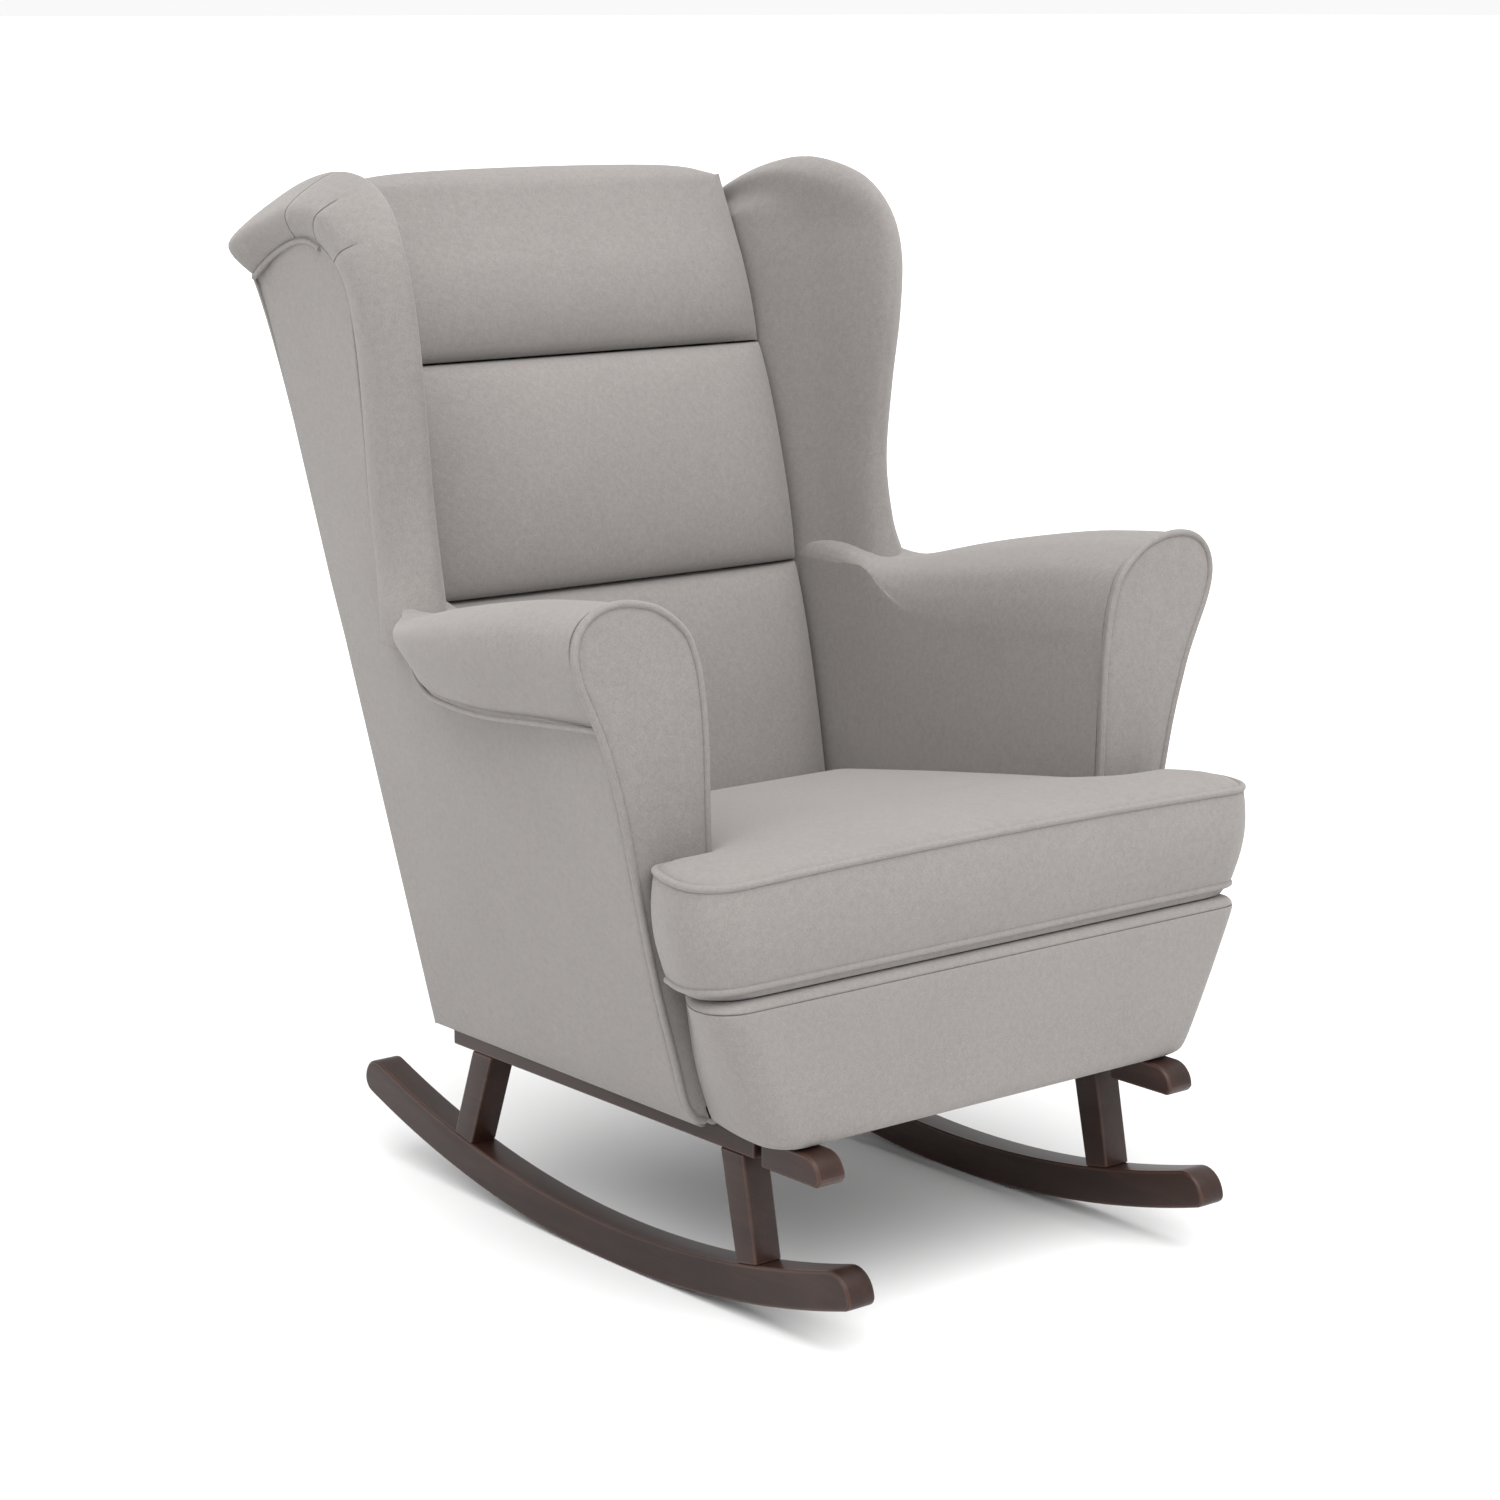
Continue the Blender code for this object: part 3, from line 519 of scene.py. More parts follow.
def make_base(side, word):
    """Runner, two legs, base rail and nose block of one side."""
    runner = timber("runner_wood_" + word, runner_outline(), BASE_INNER, BASE_OUTER, side, 0.003)
    dress(runner, "runner_" + word)
    for place, (top, bottom) in LEGS.items():
        outline = [(top[0], RAIL_BOTTOM), (top[1], RAIL_BOTTOM),
                   (bottom[1], runner_top(bottom[1])), (bottom[0], runner_top(bottom[0]))]
        leg = timber(f"{place}_leg_wood_{word}", outline, BASE_INNER + 0.001, BASE_OUTER - 0.0003,
                     side)
        dress(leg, f"{place}_leg_{word}")
    rail = [(RAIL_FRONT, RAIL_BOTTOM), (RAIL_REAR, RAIL_BOTTOM), (RAIL_REAR, FRAME_BOTTOM),
            (RAIL_FRONT, FRAME_BOTTOM)]
    dress(timber("base_rail_wood_" + word, rail, RAIL_INNER, BASE_OUTER - 0.0006, side),
          "base_rail_" + word)
    nose = [(NOSE_REAR, NOSE_BOTTOM), (NOSE_REAR, NOSE_TOP)]
    for k in range(9):
        a = math.pi / 2 * k / 8
        nose.append((NOSE_CENTRE[0] - NOSE_ROUND * math.sin(a),
                     NOSE_CENTRE[1] + NOSE_ROUND * math.cos(a)))
    nose.append((-0.3035, NOSE_BOTTOM))
    dress(timber("base_nose_wood_" + word, nose, NOSE_INNER, BASE_OUTER - 0.002, side, 0.003),
          "base_nose_" + word)


# ---------------------------------------------------------------- outer sides
SIDE_COVER = 0.006           # thickness of the outer covers
COVER_LOW, SIDE_HIGH, REAR_HIGH = 0.1745, 0.962, 0.960
SIDE_EDGE = 0.004            # rounding of the padded cover at its borders
SIDE_FRONT = [(0.175, -0.156), (0.555, -0.156), (0.600, 0.170), (0.625, 0.262), (0.709, 0.270),
              (0.787, 0.267), (0.886, 0.267), (0.930, 0.280), (0.962, 0.330)]


def rounded_depth(share_u, share_v, width, height):
    """How far a padded panel's face drops towards its borders."""
    nearest = np.minimum(np.minimum(share_u, 1 - share_u) * width,
                         np.minimum(share_v, 1 - share_v) * height)
    nearest = np.clip(nearest, 0, SIDE_EDGE)
    return SIDE_EDGE - np.sqrt(SIDE_EDGE**2 - (SIDE_EDGE - nearest) ** 2)


def border_steps(count, length):
    """Shares of 0 to 1 that crowd near both ends, for a rounded border."""
    near = [0.0, 0.0005, 0.0013, 0.0025, SIDE_EDGE]
    ends = [d / length for d in near]
    middle = np.linspace(0, 1, count)[1:-1]
    return np.array(ends + [s for s in middle if ends[-1] < s < 1 - ends[-1]]
                    + [1 - e for e in reversed(ends)])


def panel_mesh(point, outward, width, height, counts, thickness):
    """Padded panel: point(u, v) gives its face, outward(u, v) the way it faces."""
    us, vs = border_steps(counts[0], width), border_steps(counts[1], height)
    front, back = [], []
    for v in vs:
        drop = rounded_depth(us, v, width, height)
        face = np.array([point(u, v) for u in us])
        away = np.array([outward(u, v) for u in us])
        front.append(face - away * drop[:, None])
        back.append(face - away * thickness)
    mesh = bmesh.new()
    sheets = [[[mesh.verts.new(p) for p in row] for row in sheet] for sheet in (front, back)]
    for sheet in sheets:
        for lower, upper in zip(sheet, sheet[1:]):
            for k in range(len(us) - 1):
                mesh.faces.new((lower[k], lower[k + 1], upper[k + 1], upper[k]))
    rims = []
    for sheet in sheets:
        rims.append(sheet[0] + [row[-1] for row in sheet[1:]] + sheet[-1][-2::-1]
                    + [row[0] for row in sheet[-2:0:-1]])
    for k in range(len(rims[0])):
        after = (k + 1) % len(rims[0])
        mesh.faces.new((rims[0][k], rims[0][after], rims[1][after], rims[1][k]))
    return mesh


def make_outer_side(side, word):
    """Outer cover of one side, up to the wing's roll."""

    def point(u, v):
        z = COVER_LOW + v * (SIDE_HIGH - COVER_LOW)
        front = smooth(SIDE_FRONT, z)
        rear = rear_y(min(z, 0.953 + 0.02 * u)) - 0.0008
        y = front + u * (rear - front)
        drop = 0.9 * max(0.0, y - 0.37) * np.clip((z - 0.80) / 0.16, 0, 1)
        z = z - drop * 0.45
        swell = 0.0035 * math.sin(math.pi * u) * math.sin(math.pi * min(1.0, v * 1.3))
        return side_x(y, z) + swell, y, z

    def outward(u, v):
        return np.array((0.985, 0.0, -0.17)) if v < 0.5 else np.array((0.998, 0.06, 0.0))

    mesh = panel_mesh(point, outward, 0.42, 0.78, (50, 90), SIDE_COVER)
    dress(finish_mesh("side_cover_" + word, mesh, MATERIALS["cloth"], side), "outer_side_" + word)


# ---------------------------------------------------------------- arms
# roll of the arm across its front, as shares of its width and of its height above the crease
ROLL_SHAPE = [(0.030, -0.35), (0.034, 0.0), (0.051, 0.25), (0.092, 0.49), (0.174, 0.714),
              (0.350, 0.893), (0.510, 0.968), (0.680, 1.0), (0.830, 0.965), (0.925, 0.890),
              (0.985, 0.780), (1.0, 0.660), (0.985, 0.520), (0.930, 0.345), (0.865, 0.175),
              (0.815, 0.060)]


def arm_section(y):
    """Section of the arm across y, closed inside the arm."""
    ridge, outer, crease = (float(smooth(t, y)) for t in (ARM_RIDGE, ARM_OUTER, ARM_CREASE))
    inner = INNER_X
    height = ridge - crease
    points = [(inner + 0.0005, 0.325), (inner - 0.0012, 0.400), (inner + 0.0005, 0.480)]
    for a, b in ROLL_SHAPE[1:]:
        points.append((inner + a * (outer - inner), crease + b * height))
    wall = float(side_x(y, crease)) - 0.004
    points.append((min(wall, points[-1][0] - 0.003), crease - 0.004))
    points.append((inner + 0.35 * (wall - inner), crease - 0.03))
    points.append((inner + 0.010, 0.325))
    return [(x, y, z) for x, z in points]


def make_arm(side, word):
    """Cover of one arm's inner face and roll, with the piping under the roll."""
    stations = (FRONT_PLANE + 0.009, -0.145, -0.11, -0.05, 0.01, 0.06, 0.10, 0.135, 0.165, 0.186,
                0.200, 0.212, 0.245, 0.300)
    net = [arm_section(y) for y in stations]
    grid = spline_net(net, 6, 6)
    mesh = grid_mesh(grid)
    piece = finish_mesh("arm_cover_" + word, mesh, MATERIALS["cloth"], side)
    dress(piece, "arm_pad_" + word)
    crease = []
    for y in np.linspace(FRONT_PLANE + 0.003, 0.190, 40):
        z = float(smooth(ARM_CREASE, y)) - 0.001
        section_x = INNER_X + 0.815 * (float(smooth(ARM_OUTER, y)) - INNER_X)
        crease.append((max(section_x, float(side_x(y, z)) + 0.001), y, z))
    cord = cord_mesh(even_steps(spline(crease, 3), 0.004), PIPING * 0.75)
    dress(finish_mesh("arm_roll_piping_" + word, cord, MATERIALS["cloth"], side))


# outline of the arm's front panel from its lower inner corner up, over the roll and down
ARM_FRONT = [(0.232, 0.186), (0.236, 0.300), (0.245, 0.430), (0.248, 0.535), (0.253, 0.585),
             (0.259, 0.612), (0.271, 0.637), (0.297, 0.658), (0.321, 0.6665), (0.345, 0.669),
             (0.366, 0.665), (0.381, 0.655), (0.3895, 0.640), (0.391, 0.622), (0.385, 0.600),
             (0.373, 0.574), (0.363, 0.552), (0.355, 0.530), (0.341, 0.483), (0.327, 0.419),
             (0.306, 0.326), (0.284, 0.247), (0.273, 0.207), (0.262, 0.189), (0.250, 0.184)]


def make_arm_front(side, word):
    """Front panel of one arm with its piping."""
    outline = spline(ARM_FRONT, 6, closed=True)
    tangent = np.roll(outline, -1, 0) - np.roll(outline, 1, 0)
    tangent /= np.linalg.norm(tangent, axis=1)[:, None]
    inward = np.column_stack([tangent[:, 1], -tangent[:, 0]])
    grid = []
    for inset, y in ((0.0, FRONT_PLANE + 0.0085), (0.0, FRONT_PLANE + 0.004),
                     (0.0015, FRONT_PLANE + 0.0012), (0.004, FRONT_PLANE),
                     (0.009, FRONT_PLANE - 0.0010), (0.014, FRONT_PLANE - 0.0014)):
        grid.append([(x, y, z) for x, z in outline + inset * inward])
    mesh = grid_mesh(np.array(grid), caps=False)
    rims = [edge for edge in mesh.edges if edge.is_boundary]
    bmesh.ops.holes_fill(mesh, edges=rims)
    piece = finish_mesh("arm_front_cover_" + word, mesh, MATERIALS["cloth"], side)
    dress(piece, "arm_front_" + word)
    edge = [(x, FRONT_PLANE + 0.001, z) for x, z in spline(ARM_FRONT[1:], 8)]
    cord = cord_mesh(even_steps(edge, 0.004), PIPING)
    dress(finish_mesh("arm_front_piping_" + word, cord, MATERIALS["cloth"], side))


# ---------------------------------------------------------------- wings
# rows of the wing from the arm up its front edge, round the corner and back along its top;
# each row: inner root, silhouette, crest, shoulder, seam, all as (x, y, z)
WING_ROWS = [
    ((0.246, 0.310, 0.560), (0.268, 0.204, 0.565), (0.292, 0.184, 0.570), (0.322, 0.205, 0.575),
     (0.330, 0.232, 0.580)),
    ((0.246, 0.320, 0.606), (0.270, 0.208, 0.606), (0.293, 0.192, 0.606), (0.322, 0.216, 0.606),
     (0.326, 0.240, 0.606)),
    ((0.245, 0.330, 0.650), (0.271, 0.215, 0.650), (0.292, 0.203, 0.650), (0.315, 0.232, 0.650),
     (0.3165, 0.259, 0.650)),
    ((0.245, 0.345, 0.710), (0.274, 0.221, 0.710), (0.293, 0.213, 0.710), (0.316, 0.243, 0.710),
     (0.317, 0.268, 0.710)),
    ((0.245, 0.365, 0.787), (0.281, 0.220, 0.787), (0.300, 0.214, 0.787), (0.322, 0.240, 0.787),
     (0.323, 0.266, 0.787)),
    ((0.245, 0.385, 0.860), (0.288, 0.219, 0.860), (0.308, 0.212, 0.860), (0.331, 0.238, 0.860),
     (0.330, 0.265, 0.860)),
    ((0.245, 0.400, 0.915), (0.293, 0.224, 0.917), (0.313, 0.217, 0.922), (0.338, 0.243, 0.915),
     (0.335, 0.272, 0.911)),
    ((0.245, 0.410, 0.940), (0.295, 0.236, 0.956), (0.314, 0.232, 0.966), (0.342, 0.262, 0.952),
     (0.336, 0.291, 0.938)),
    ((0.245, 0.415, 0.950), (0.289, 0.262, 0.985), (0.308, 0.264, 1.000), (0.345, 0.292, 0.978),
     (0.334, 0.315, 0.951)),
    ((0.245, 0.420, 0.952), (0.279, 0.303, 1.002), (0.300, 0.308, 1.016), (0.346, 0.325, 0.987),
     (0.331, 0.340, 0.957)),
    ((0.245, 0.430, 0.950), (0.270, 0.352, 1.008), (0.298, 0.354, 1.019), (0.346, 0.362, 0.985),
     (0.328, 0.372, 0.954)),
    ((0.245, 0.445, 0.945), (0.262, 0.400, 1.001), (0.298, 0.402, 1.009), (0.345, 0.405, 0.972),
     (0.324, 0.412, 0.941)),
    ((0.244, 0.462, 0.935), (0.256, 0.440, 0.985), (0.296, 0.441, 0.994), (0.348, 0.443, 0.957),
     (0.322, 0.443, 0.925)),
    ((0.243, 0.468, 0.925), (0.254, 0.462, 0.971), (0.297, 0.464, 0.981), (0.347, 0.463, 0.948),
     (0.320, 0.459, 0.915)),
]


def wing_net():
    """Control net of a wing, its hidden side closed behind the seam."""
    net = []
    for root, inner, crest, shoulder, seam in np.array(WING_ROWS):
        face = root + 0.5 * (inner - root) + np.array((0.002, 0.0, 0.0))
        tuck = seam + np.array((-0.012, 0.006, 0.0))
        middle = 0.5 * (inner + crest) + 0.16 * (inner - shoulder) * np.array((0.3, 0.6, 0.0))
        hidden = 0.5 * (tuck + root) + np.array((0.006, 0.010, -0.004))
        net.append([root, face, inner, crest, shoulder, seam, tuck, hidden])
    return net


PLEATS = ((56, 3.3), (67, 3.1), (79, 2.6))      # fine row of each pleat, column it starts at
PLEAT_DEPTH = 0.0016
NET_STEPS = 8


def sew_pleats(grid):
    """Narrow sewn grooves across the roll, from its crest to the seam under it."""
    for row, first in PLEATS:
        columns = np.arange(grid.shape[1]) / NET_STEPS
        weight = np.clip((columns - first) / 0.5, 0, 1) * np.clip((5.2 - columns) / 0.2, 0, 1)
        for neighbour in (row - 1, row + 1):
            near = grid[row] + 0.2 * (grid[neighbour] - grid[row])
            grid[neighbour] += weight[:, None] * (near - grid[neighbour])
        inward = grid[row].mean(0) - grid[row]
        inward /= np.linalg.norm(inward, axis=1)[:, None]
        grid[row] += PLEAT_DEPTH * weight[:, None] * inward
    return grid


def rounded_tail(net):
    """Closes the roll's rear end with a soft dome."""
    last = np.array(net[-1])
    centre = last.mean(0)
    tail = []
    for share, past in ((0.94, 0.0050), (0.74, 0.0095), (0.35, 0.0120)):
        tail.append(centre + share * (last - centre) + np.array((0.0, past, 0.0)))
    return net + tail


def make_wing(side, word):
    """Padded cover of one wing, its pleated roll and the piping below."""
    grid = sew_pleats(spline_net(rounded_tail(wing_net()), NET_STEPS, NET_STEPS))
    piece = finish_mesh("wing_cover_" + word, grid_mesh(grid), MATERIALS["cloth"], side)
    dress(piece, "wing_" + word)
    seam = np.array([row[4] for row in WING_ROWS[8:]]) + np.array((0.0020, 0.0, -0.0015))
    cord = cord_mesh(even_steps(spline(seam, 8), 0.004), PIPING * 0.85)
    dress(finish_mesh("wing_piping_" + word, cord, MATERIALS["cloth"], side))


# ---------------------------------------------------------------- inner back
PILLOWS = (("back_pillow_lower", BACK_LOW, SEAM_LOW), ("back_pillow_middle", SEAM_LOW, SEAM_HIGH),
           ("back_pillow_upper", SEAM_HIGH, BACK_HIGH))
PILLOW_BULGE = 0.030
PILLOW_TUCK = 0.020          # how far a pillow reaches behind its sewn channels


def pillow_ring(x, low, high, top_roll):
    """Section of a pillow at one x, from its lower back corner round its face."""
    edge = 1 - abs(x / BACK_HALF) ** 7
    fullness = max(edge, 0.0) ** 0.4 * (0.80 + 0.20 * math.cos(math.pi * x / (2.4 * BACK_HALF)))
    points = [(float(back_y(low)) + PILLOW_TUCK, low + 0.002)]
    steps = 26
    for k in range(steps + 1):
        turn = math.pi * k / steps
        share = 0.5 - 0.5 * math.cos(turn)
        if top_roll:
            share = k / steps
            lift = math.sin(min(1.0, share * 1.9) * math.pi / 2) ** 0.55
            lift *= 1 - 0.55 * max(0.0, share - 0.55)
        else:
            lift = math.sin(turn) ** 0.62
        z = low + 0.0012 + share * (high - low - 0.0024)
        points.append((float(back_y(z)) + 0.006 - (PILLOW_BULGE + 0.006) * fullness * lift, z))
    if top_roll:
        crown = 0.987 + 0.027 * fullness
        last_y, last_z = points[-1]
        points += [(0.7 * last_y + 0.3 * 0.438, 0.4 * last_z + 0.6 * crown), (0.438, crown),
                   (0.455, crown - 0.003), (0.470, crown - 0.014), (0.479, 0.970),
                   (0.478, 0.948), (0.455, 0.940)]
    else:
        points.append((float(back_y(high)) + PILLOW_TUCK, high - 0.002))
    return [(x, y, z) for y, z in points]


def make_back():
    """The three stuffed pillows of the inner back."""
    shares = np.sin(np.linspace(-1, 1, 61) * math.pi / 2)
    for node, low, high in PILLOWS:
        top_roll = node == "back_pillow_upper"
        grid = np.array([pillow_ring(BACK_HALF * s, low, high, top_roll) for s in shares])
        mesh = grid_mesh(grid)
        piece = finish_mesh(node.replace("back_pillow", "back_pad"), mesh, MATERIALS["cloth"], 1)
        dress(piece, node)


def make_outer_back():
    """Outer cover of the back, with its upper corners drawn down."""

    def point(u, v):
        z = COVER_LOW + v * (REAR_HIGH - COVER_LOW)
        half = rear_width(z) - 0.0005
        across = 2 * u - 1
        corner = 0.045 * v**8 * max(0.0, abs(across) - 0.7) / 0.3
        return half * across, rear_y(z) + 0.004 * (1 - across * across), z - corner

    def outward(u, v):
        return np.array((0.0, 0.972, -0.233))

    mesh = panel_mesh(point, outward, 0.56, 0.80, (60, 80), SIDE_COVER)
    dress(finish_mesh("back_cover", mesh, MATERIALS["cloth"], 1), "outer_back")


# ---------------------------------------------------------------- front border
# height, half width at the front, half width at the arm, setback of the face
APRON_LEVELS = [(0.1800, 0.232, 0.228, 0.030), (0.1803, 0.246, 0.236, 0.014),
                (0.1835, 0.257, 0.245, 0.0055), (0.1900, 0.2635, 0.250, 0.0020),
                (0.2090, 0.2735, 0.257, 0.0008), (0.2450, 0.2905, 0.268, -0.0005),
                (0.2900, 0.3115, 0.276, -0.0010), (0.3170, 0.3235, 0.279, -0.0008),
                (0.3195, 0.3222, 0.278, 0.0010), (0.3220, 0.3235, 0.279, -0.0002),
                (0.3270, 0.3205, 0.276, 0.0025), (0.3295, 0.3150, 0.272, 0.0080),
                (0.3300, 0.3060, 0.264, 0.0170)]
APRON_PAD = 0.016
APRON_CORNER = 0.028
APRON_REAR = FRONT_PLANE - 0.0015
APRON_FLAT = 0.30            # above this height the border follows the sloping deck
EAR_ROUND = 0.008            # rounding of the border's and the cushion's ends at the arms


def ear_line(half, arm_half, front, rear, radius, steps=14):
    """Half of a plan line: from the arm, out along the ear and round to the middle of the front."""
    line = []
    for k in range(6):
        a = math.pi / 2 * k / 6
        line.append((arm_half - EAR_ROUND * (1 - math.sin(a)), rear - EAR_ROUND * (1 - math.cos(a))))
    start = rear - EAR_ROUND
    for k in range(steps):
        share = k / steps
        line.append((arm_half + (half - arm_half) * math.sin(share * math.pi / 2),
                     start + share * (front + radius - start)))
    for k in range(steps):
        a = math.pi / 2 * k / steps
        line.append((half - radius + radius * math.cos(a), front + radius - radius * math.sin(a)))
    return line + [(x, front) for x in np.linspace(half - radius, 0, 24)]


def mirrored(half_line):
    """The half line and its mirror image, joined in the middle."""
    return half_line + [(-x, y) for x, y in reversed(half_line[:-1])]


def apron_ring(level, depth):
    """Plan line of the border at one level, moved inwards by depth."""
    z, half, arm_half, setback = level
    line = ear_line(half - depth, arm_half - depth, APRON_FRONT + setback + depth, APRON_REAR,
                    APRON_CORNER - 0.5 * depth)
    fall = np.clip((z - APRON_FLAT) / 0.03, 0, 1)
    return [(x, y, z + fall * (deck_z(y) - DECK_FRONT)) for x, y in mirrored(line)]


def make_apron():
    """Padded border below the cushion, with a sewn line just under its top edge."""
    levels = spline(APRON_LEVELS, 3)
    grid = [apron_ring(level, 0.0) for level in levels]
    inside = [APRON_LEVELS[-2], APRON_LEVELS[6], APRON_LEVELS[4], APRON_LEVELS[1]]
    grid += [apron_ring(level, APRON_PAD) for level in inside]
    grid.append(grid[0])
    mesh = grid_mesh(np.array(grid), wrap=False, caps=False)
    bmesh.ops.remove_doubles(mesh, verts=mesh.verts, dist=1e-6)
    bmesh.ops.holes_fill(mesh, edges=mesh.edges)
    piece = finish_mesh("front_border", mesh, MATERIALS["cloth"], 1)
    dress(piece, "front_apron")


# ---------------------------------------------------------------- loose seat cushion
# height of the upper piping above the deck, from the front to the back
CUSHION_EDGE = [(-0.286, 0.102), (-0.260, 0.105), (-0.220, 0.110), (-0.180, 0.1115),
                (0.0, 0.108), (0.216, 0.100)]
CUSHION_LOW = 0.010          # height of the lower piping above the deck
CUSHION_CROWN = 0.014        # rise of the top above its piping
CROWN_REACH = 0.040          # distance over which the top rises from its piping
CUSHION_REAR = 0.218
CUSHION_HALF = 0.343         # half width at the front
CUSHION_EAR = 0.318          # half width where the ears meet the arms
CUSHION_FRONT = -0.2845
CUSHION_CORNER = 0.036
EAR_REAR = FRONT_PLANE - 0.0035
CUSHION_CENTRE = np.array((0.0, -0.205))


def cushion_outline(count=240):
    """T-shaped plan with rounded corners, evenly spaced."""
    narrow = INNER_X - 0.003
    line = [(0.0, CUSHION_REAR), (0.12, CUSHION_REAR), (0.205, CUSHION_REAR - 0.002),
            (0.231, CUSHION_REAR - 0.011), (narrow, 0.180), (narrow, 0.08), (narrow, -0.04),
            (narrow, EAR_REAR + 0.030), (narrow + 0.003, EAR_REAR + 0.002),
            (0.262, EAR_REAR - 0.001)]
    line += ear_line(CUSHION_HALF, CUSHION_EAR, CUSHION_FRONT, EAR_REAR - 0.002,
                     CUSHION_CORNER, 5)
    half = np.array(line)
    whole = np.vstack([half, half[-2:0:-1] * (-1, 1)])
    loop = np.column_stack([whole, np.zeros(len(whole))])
    loop = np.vstack([loop, loop[:1]])
    length = np.linalg.norm(np.diff(loop, axis=0), axis=1).sum()
    even = even_steps(loop, length / count)[:-1, :2]
    for _ in range(2):
        even = 0.5 * even + 0.25 * (np.roll(even, 1, 0) + np.roll(even, -1, 0))
    return even


def edge_distance(points, outline):
    """Distance of plan points from the outline."""
    start, end = outline, np.roll(outline, -1, 0)
    along = end - start
    gap = points[:, None, :] - start[None]
    share = np.clip((gap * along).sum(2) / (along**2).sum(1), 0, 1)
    return np.linalg.norm(gap - share[..., None] * along, axis=2).min(1)


def edge_height(x, y):
    """Height of the upper piping above the deck, highest in the middle of the front."""
    front = np.clip((-0.15 - y) / 0.12, 0, 1)
    return smooth(CUSHION_EDGE, y) + 0.0055 * front * (1 - (x / CUSHION_HALF) ** 2)


def outward_normals(outline):
    """Directions in plan that point away from the cushion."""
    tangent = np.roll(outline, -1, 0) - np.roll(outline, 1, 0)
    tangent /= np.linalg.norm(tangent, axis=1)[:, None]
    outward = np.column_stack([tangent[:, 1], -tangent[:, 0]])
    return outward if outward[0] @ (outline[0] - CUSHION_CENTRE) > 0 else -outward


def cushion_rings():
    """Closed grid from the middle of the underside, up the boxing and over the top."""
    outline = cushion_outline()
    outward = outward_normals(outline)
    beside = np.clip((np.abs(outline[:, 0]) - INNER_X) / 0.012, 0, 1)
    before = np.clip((-0.190 - outline[:, 1]) / 0.020, 0, 1)
    free = np.maximum(beside, before)[:, None]
    inset = free * (0.013 * np.abs(outward[:, :1]) + 0.004 * np.abs(outward[:, 1:]))
    lower = outline - outward * inset
    shares = np.linspace(0.06, 1.0, 30)
    grid, marks = [], {}
    for share in shares[:-1]:
        plan = CUSHION_CENTRE + share * (lower - CUSHION_CENTRE)
        grid.append([(x, y, deck_z(y) + 0.0008) for x, y in plan])
    marks["lower"] = len(grid)
    for level in np.linspace(0, 1, 19):
        bulge = (0.002 + 0.0065 * free) * math.sin(math.pi * level) ** 0.8
        plan = lower + (outline - lower) * level + outward * bulge
        heights = CUSHION_LOW + level * (edge_height(*plan.T) - CUSHION_LOW)
        grid.append([(x, y, deck_z(y) + h) for (x, y), h in zip(plan, heights)])
    marks["upper"] = len(grid) - 1
    for share in shares[:-1][::-1]:
        plan = CUSHION_CENTRE + share * (outline - CUSHION_CENTRE)
        away = edge_distance(plan, outline)
        rise = CUSHION_CROWN * (1 - np.exp(-away / CROWN_REACH)) + 0.003 * (1 - np.exp(-away / 0.006))
        heights = edge_height(*plan.T) + rise
        grid.append([(x, y, deck_z(y) + h) for (x, y), h in zip(plan, heights)])
    return np.array(grid), marks


def make_cushion():
    """Cover of the loose cushion with its two piping cords."""
    grid, marks = cushion_rings()
    mesh = grid_mesh(grid)
    piece = finish_mesh("seat_cushion_cover", mesh, MATERIALS["cloth"], 1, 60)
    dress(piece, "seat_cushion", body="loose_cushion")
    for place in ("lower", "upper"):
        loop = grid[marks[place]]
        loop = np.vstack([loop, loop[:1]])
        cord = cord_mesh(even_steps(loop, 0.004)[:-1], PIPING, closed=True)
        dress(finish_mesh(f"cushion_piping_{place}", cord, MATERIALS["cloth"], 1),
              body="loose_cushion")


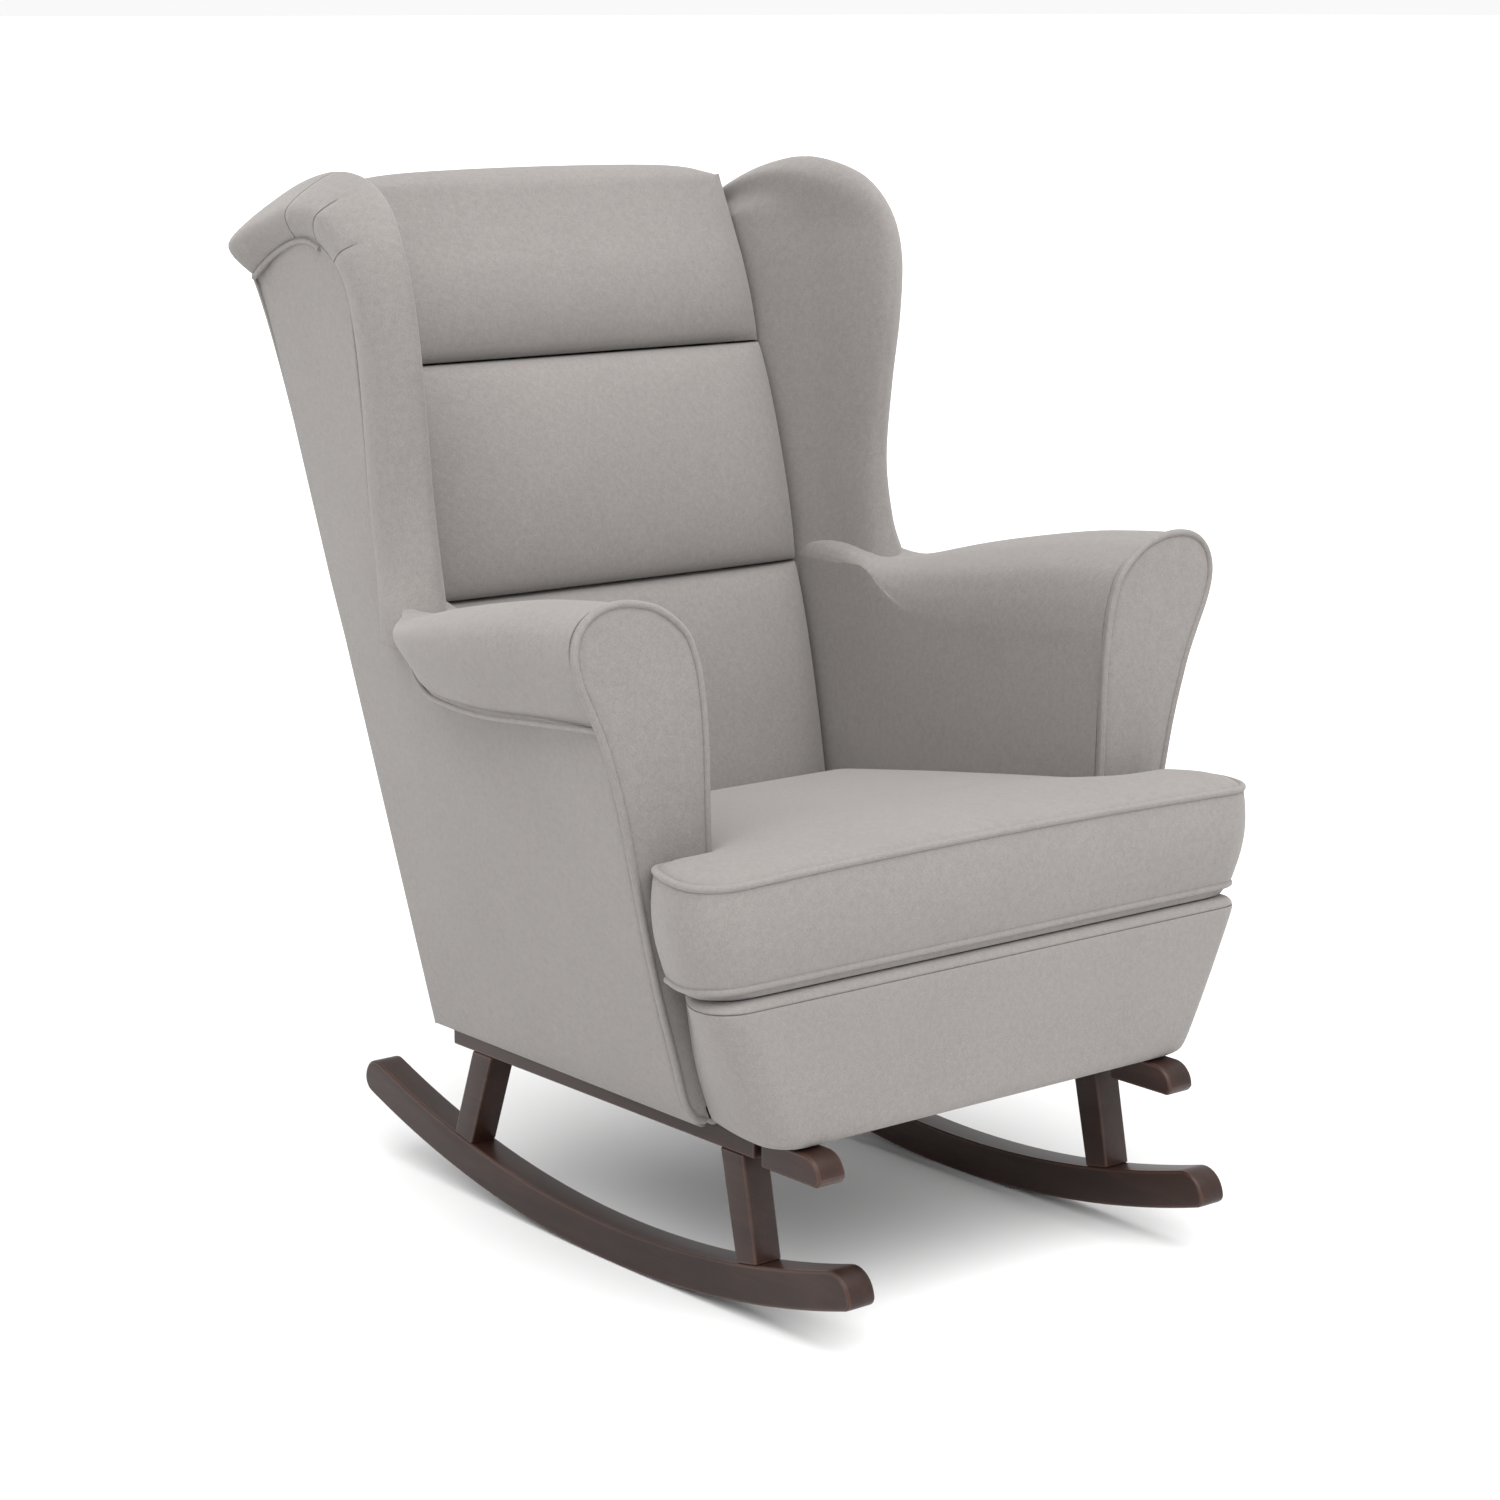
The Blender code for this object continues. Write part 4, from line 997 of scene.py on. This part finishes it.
# ---------------------------------------------------------------- hidden pieces and the studio
def dress_hidden_frame():
    """Gives the inner pieces that stay as the frame made them their own finishes."""
    finishes = {"plain_timber": MATERIALS["timber"], "plywood": MATERIALS["plywood"],
                "walnut_stain": MATERIALS["walnut"], "spring_steel": MATERIALS["steel"],
                "bolt_steel": MATERIALS["steel"], "felt": MATERIALS["felt"],
                "webbing": MATERIALS["webbing"], "dust_cloth": MATERIALS["dust_cloth"]}
    for part in frame["record"]["subparts"]:
        finish = finishes.get(part["material_slot"])
        if finish and part["node"] in frame["nodes"]:
            frame["nodes"][part["node"]].data.materials.clear()
            frame["nodes"][part["node"]].data.materials.append(finish)


FLOOR_HALF = 400.0
FLOOR_COLOUR = (0.80, 0.80, 0.80)
SKY_POWER = 0.95
LAMP_POWER = 4.0
LAMP_SPREAD = 75             # degrees
LAMP_TILT = (24, -14)        # degrees about X and Y


def make_studio():
    """White floor, white surroundings and one broad lamp overhead."""
    mesh = bmesh.new()
    bmesh.ops.create_grid(mesh, x_segments=1, y_segments=1, size=FLOOR_HALF)
    data = bpy.data.meshes.new("floor")
    mesh.to_mesh(data)
    mesh.free()
    made, _, _, shader = new_material("studio_floor", FLOOR_COLOUR, 0.9)
    shader.inputs["Specular IOR Level"].default_value = 0.0
    data.materials.append(made)
    floor = bpy.data.objects.new("floor", data)
    bpy.context.scene.collection.objects.link(floor)
    world = bpy.data.worlds.new("studio")
    bpy.context.scene.world = world
    world.use_nodes = True
    background = world.node_tree.nodes["Background"]
    background.inputs["Color"].default_value = (1.0, 1.0, 1.0, 1.0)
    background.inputs["Strength"].default_value = SKY_POWER
    sun = bpy.data.lights.new("overhead", "SUN")
    sun.energy = LAMP_POWER
    sun.angle = math.radians(LAMP_SPREAD)
    lamp = bpy.data.objects.new("overhead", sun)
    lamp.rotation_euler = (math.radians(LAMP_TILT[0]), math.radians(LAMP_TILT[1]), 0.0)
    bpy.context.scene.collection.objects.link(lamp)
    bpy.context.scene.view_settings.view_transform = "Standard"


make_camera()
make_studio()
both_sides(make_base)
both_sides(make_outer_side)
both_sides(make_arm)
both_sides(make_arm_front)
both_sides(make_wing)
make_back()
make_outer_back()
make_apron()
make_cushion()
dress_hidden_frame()
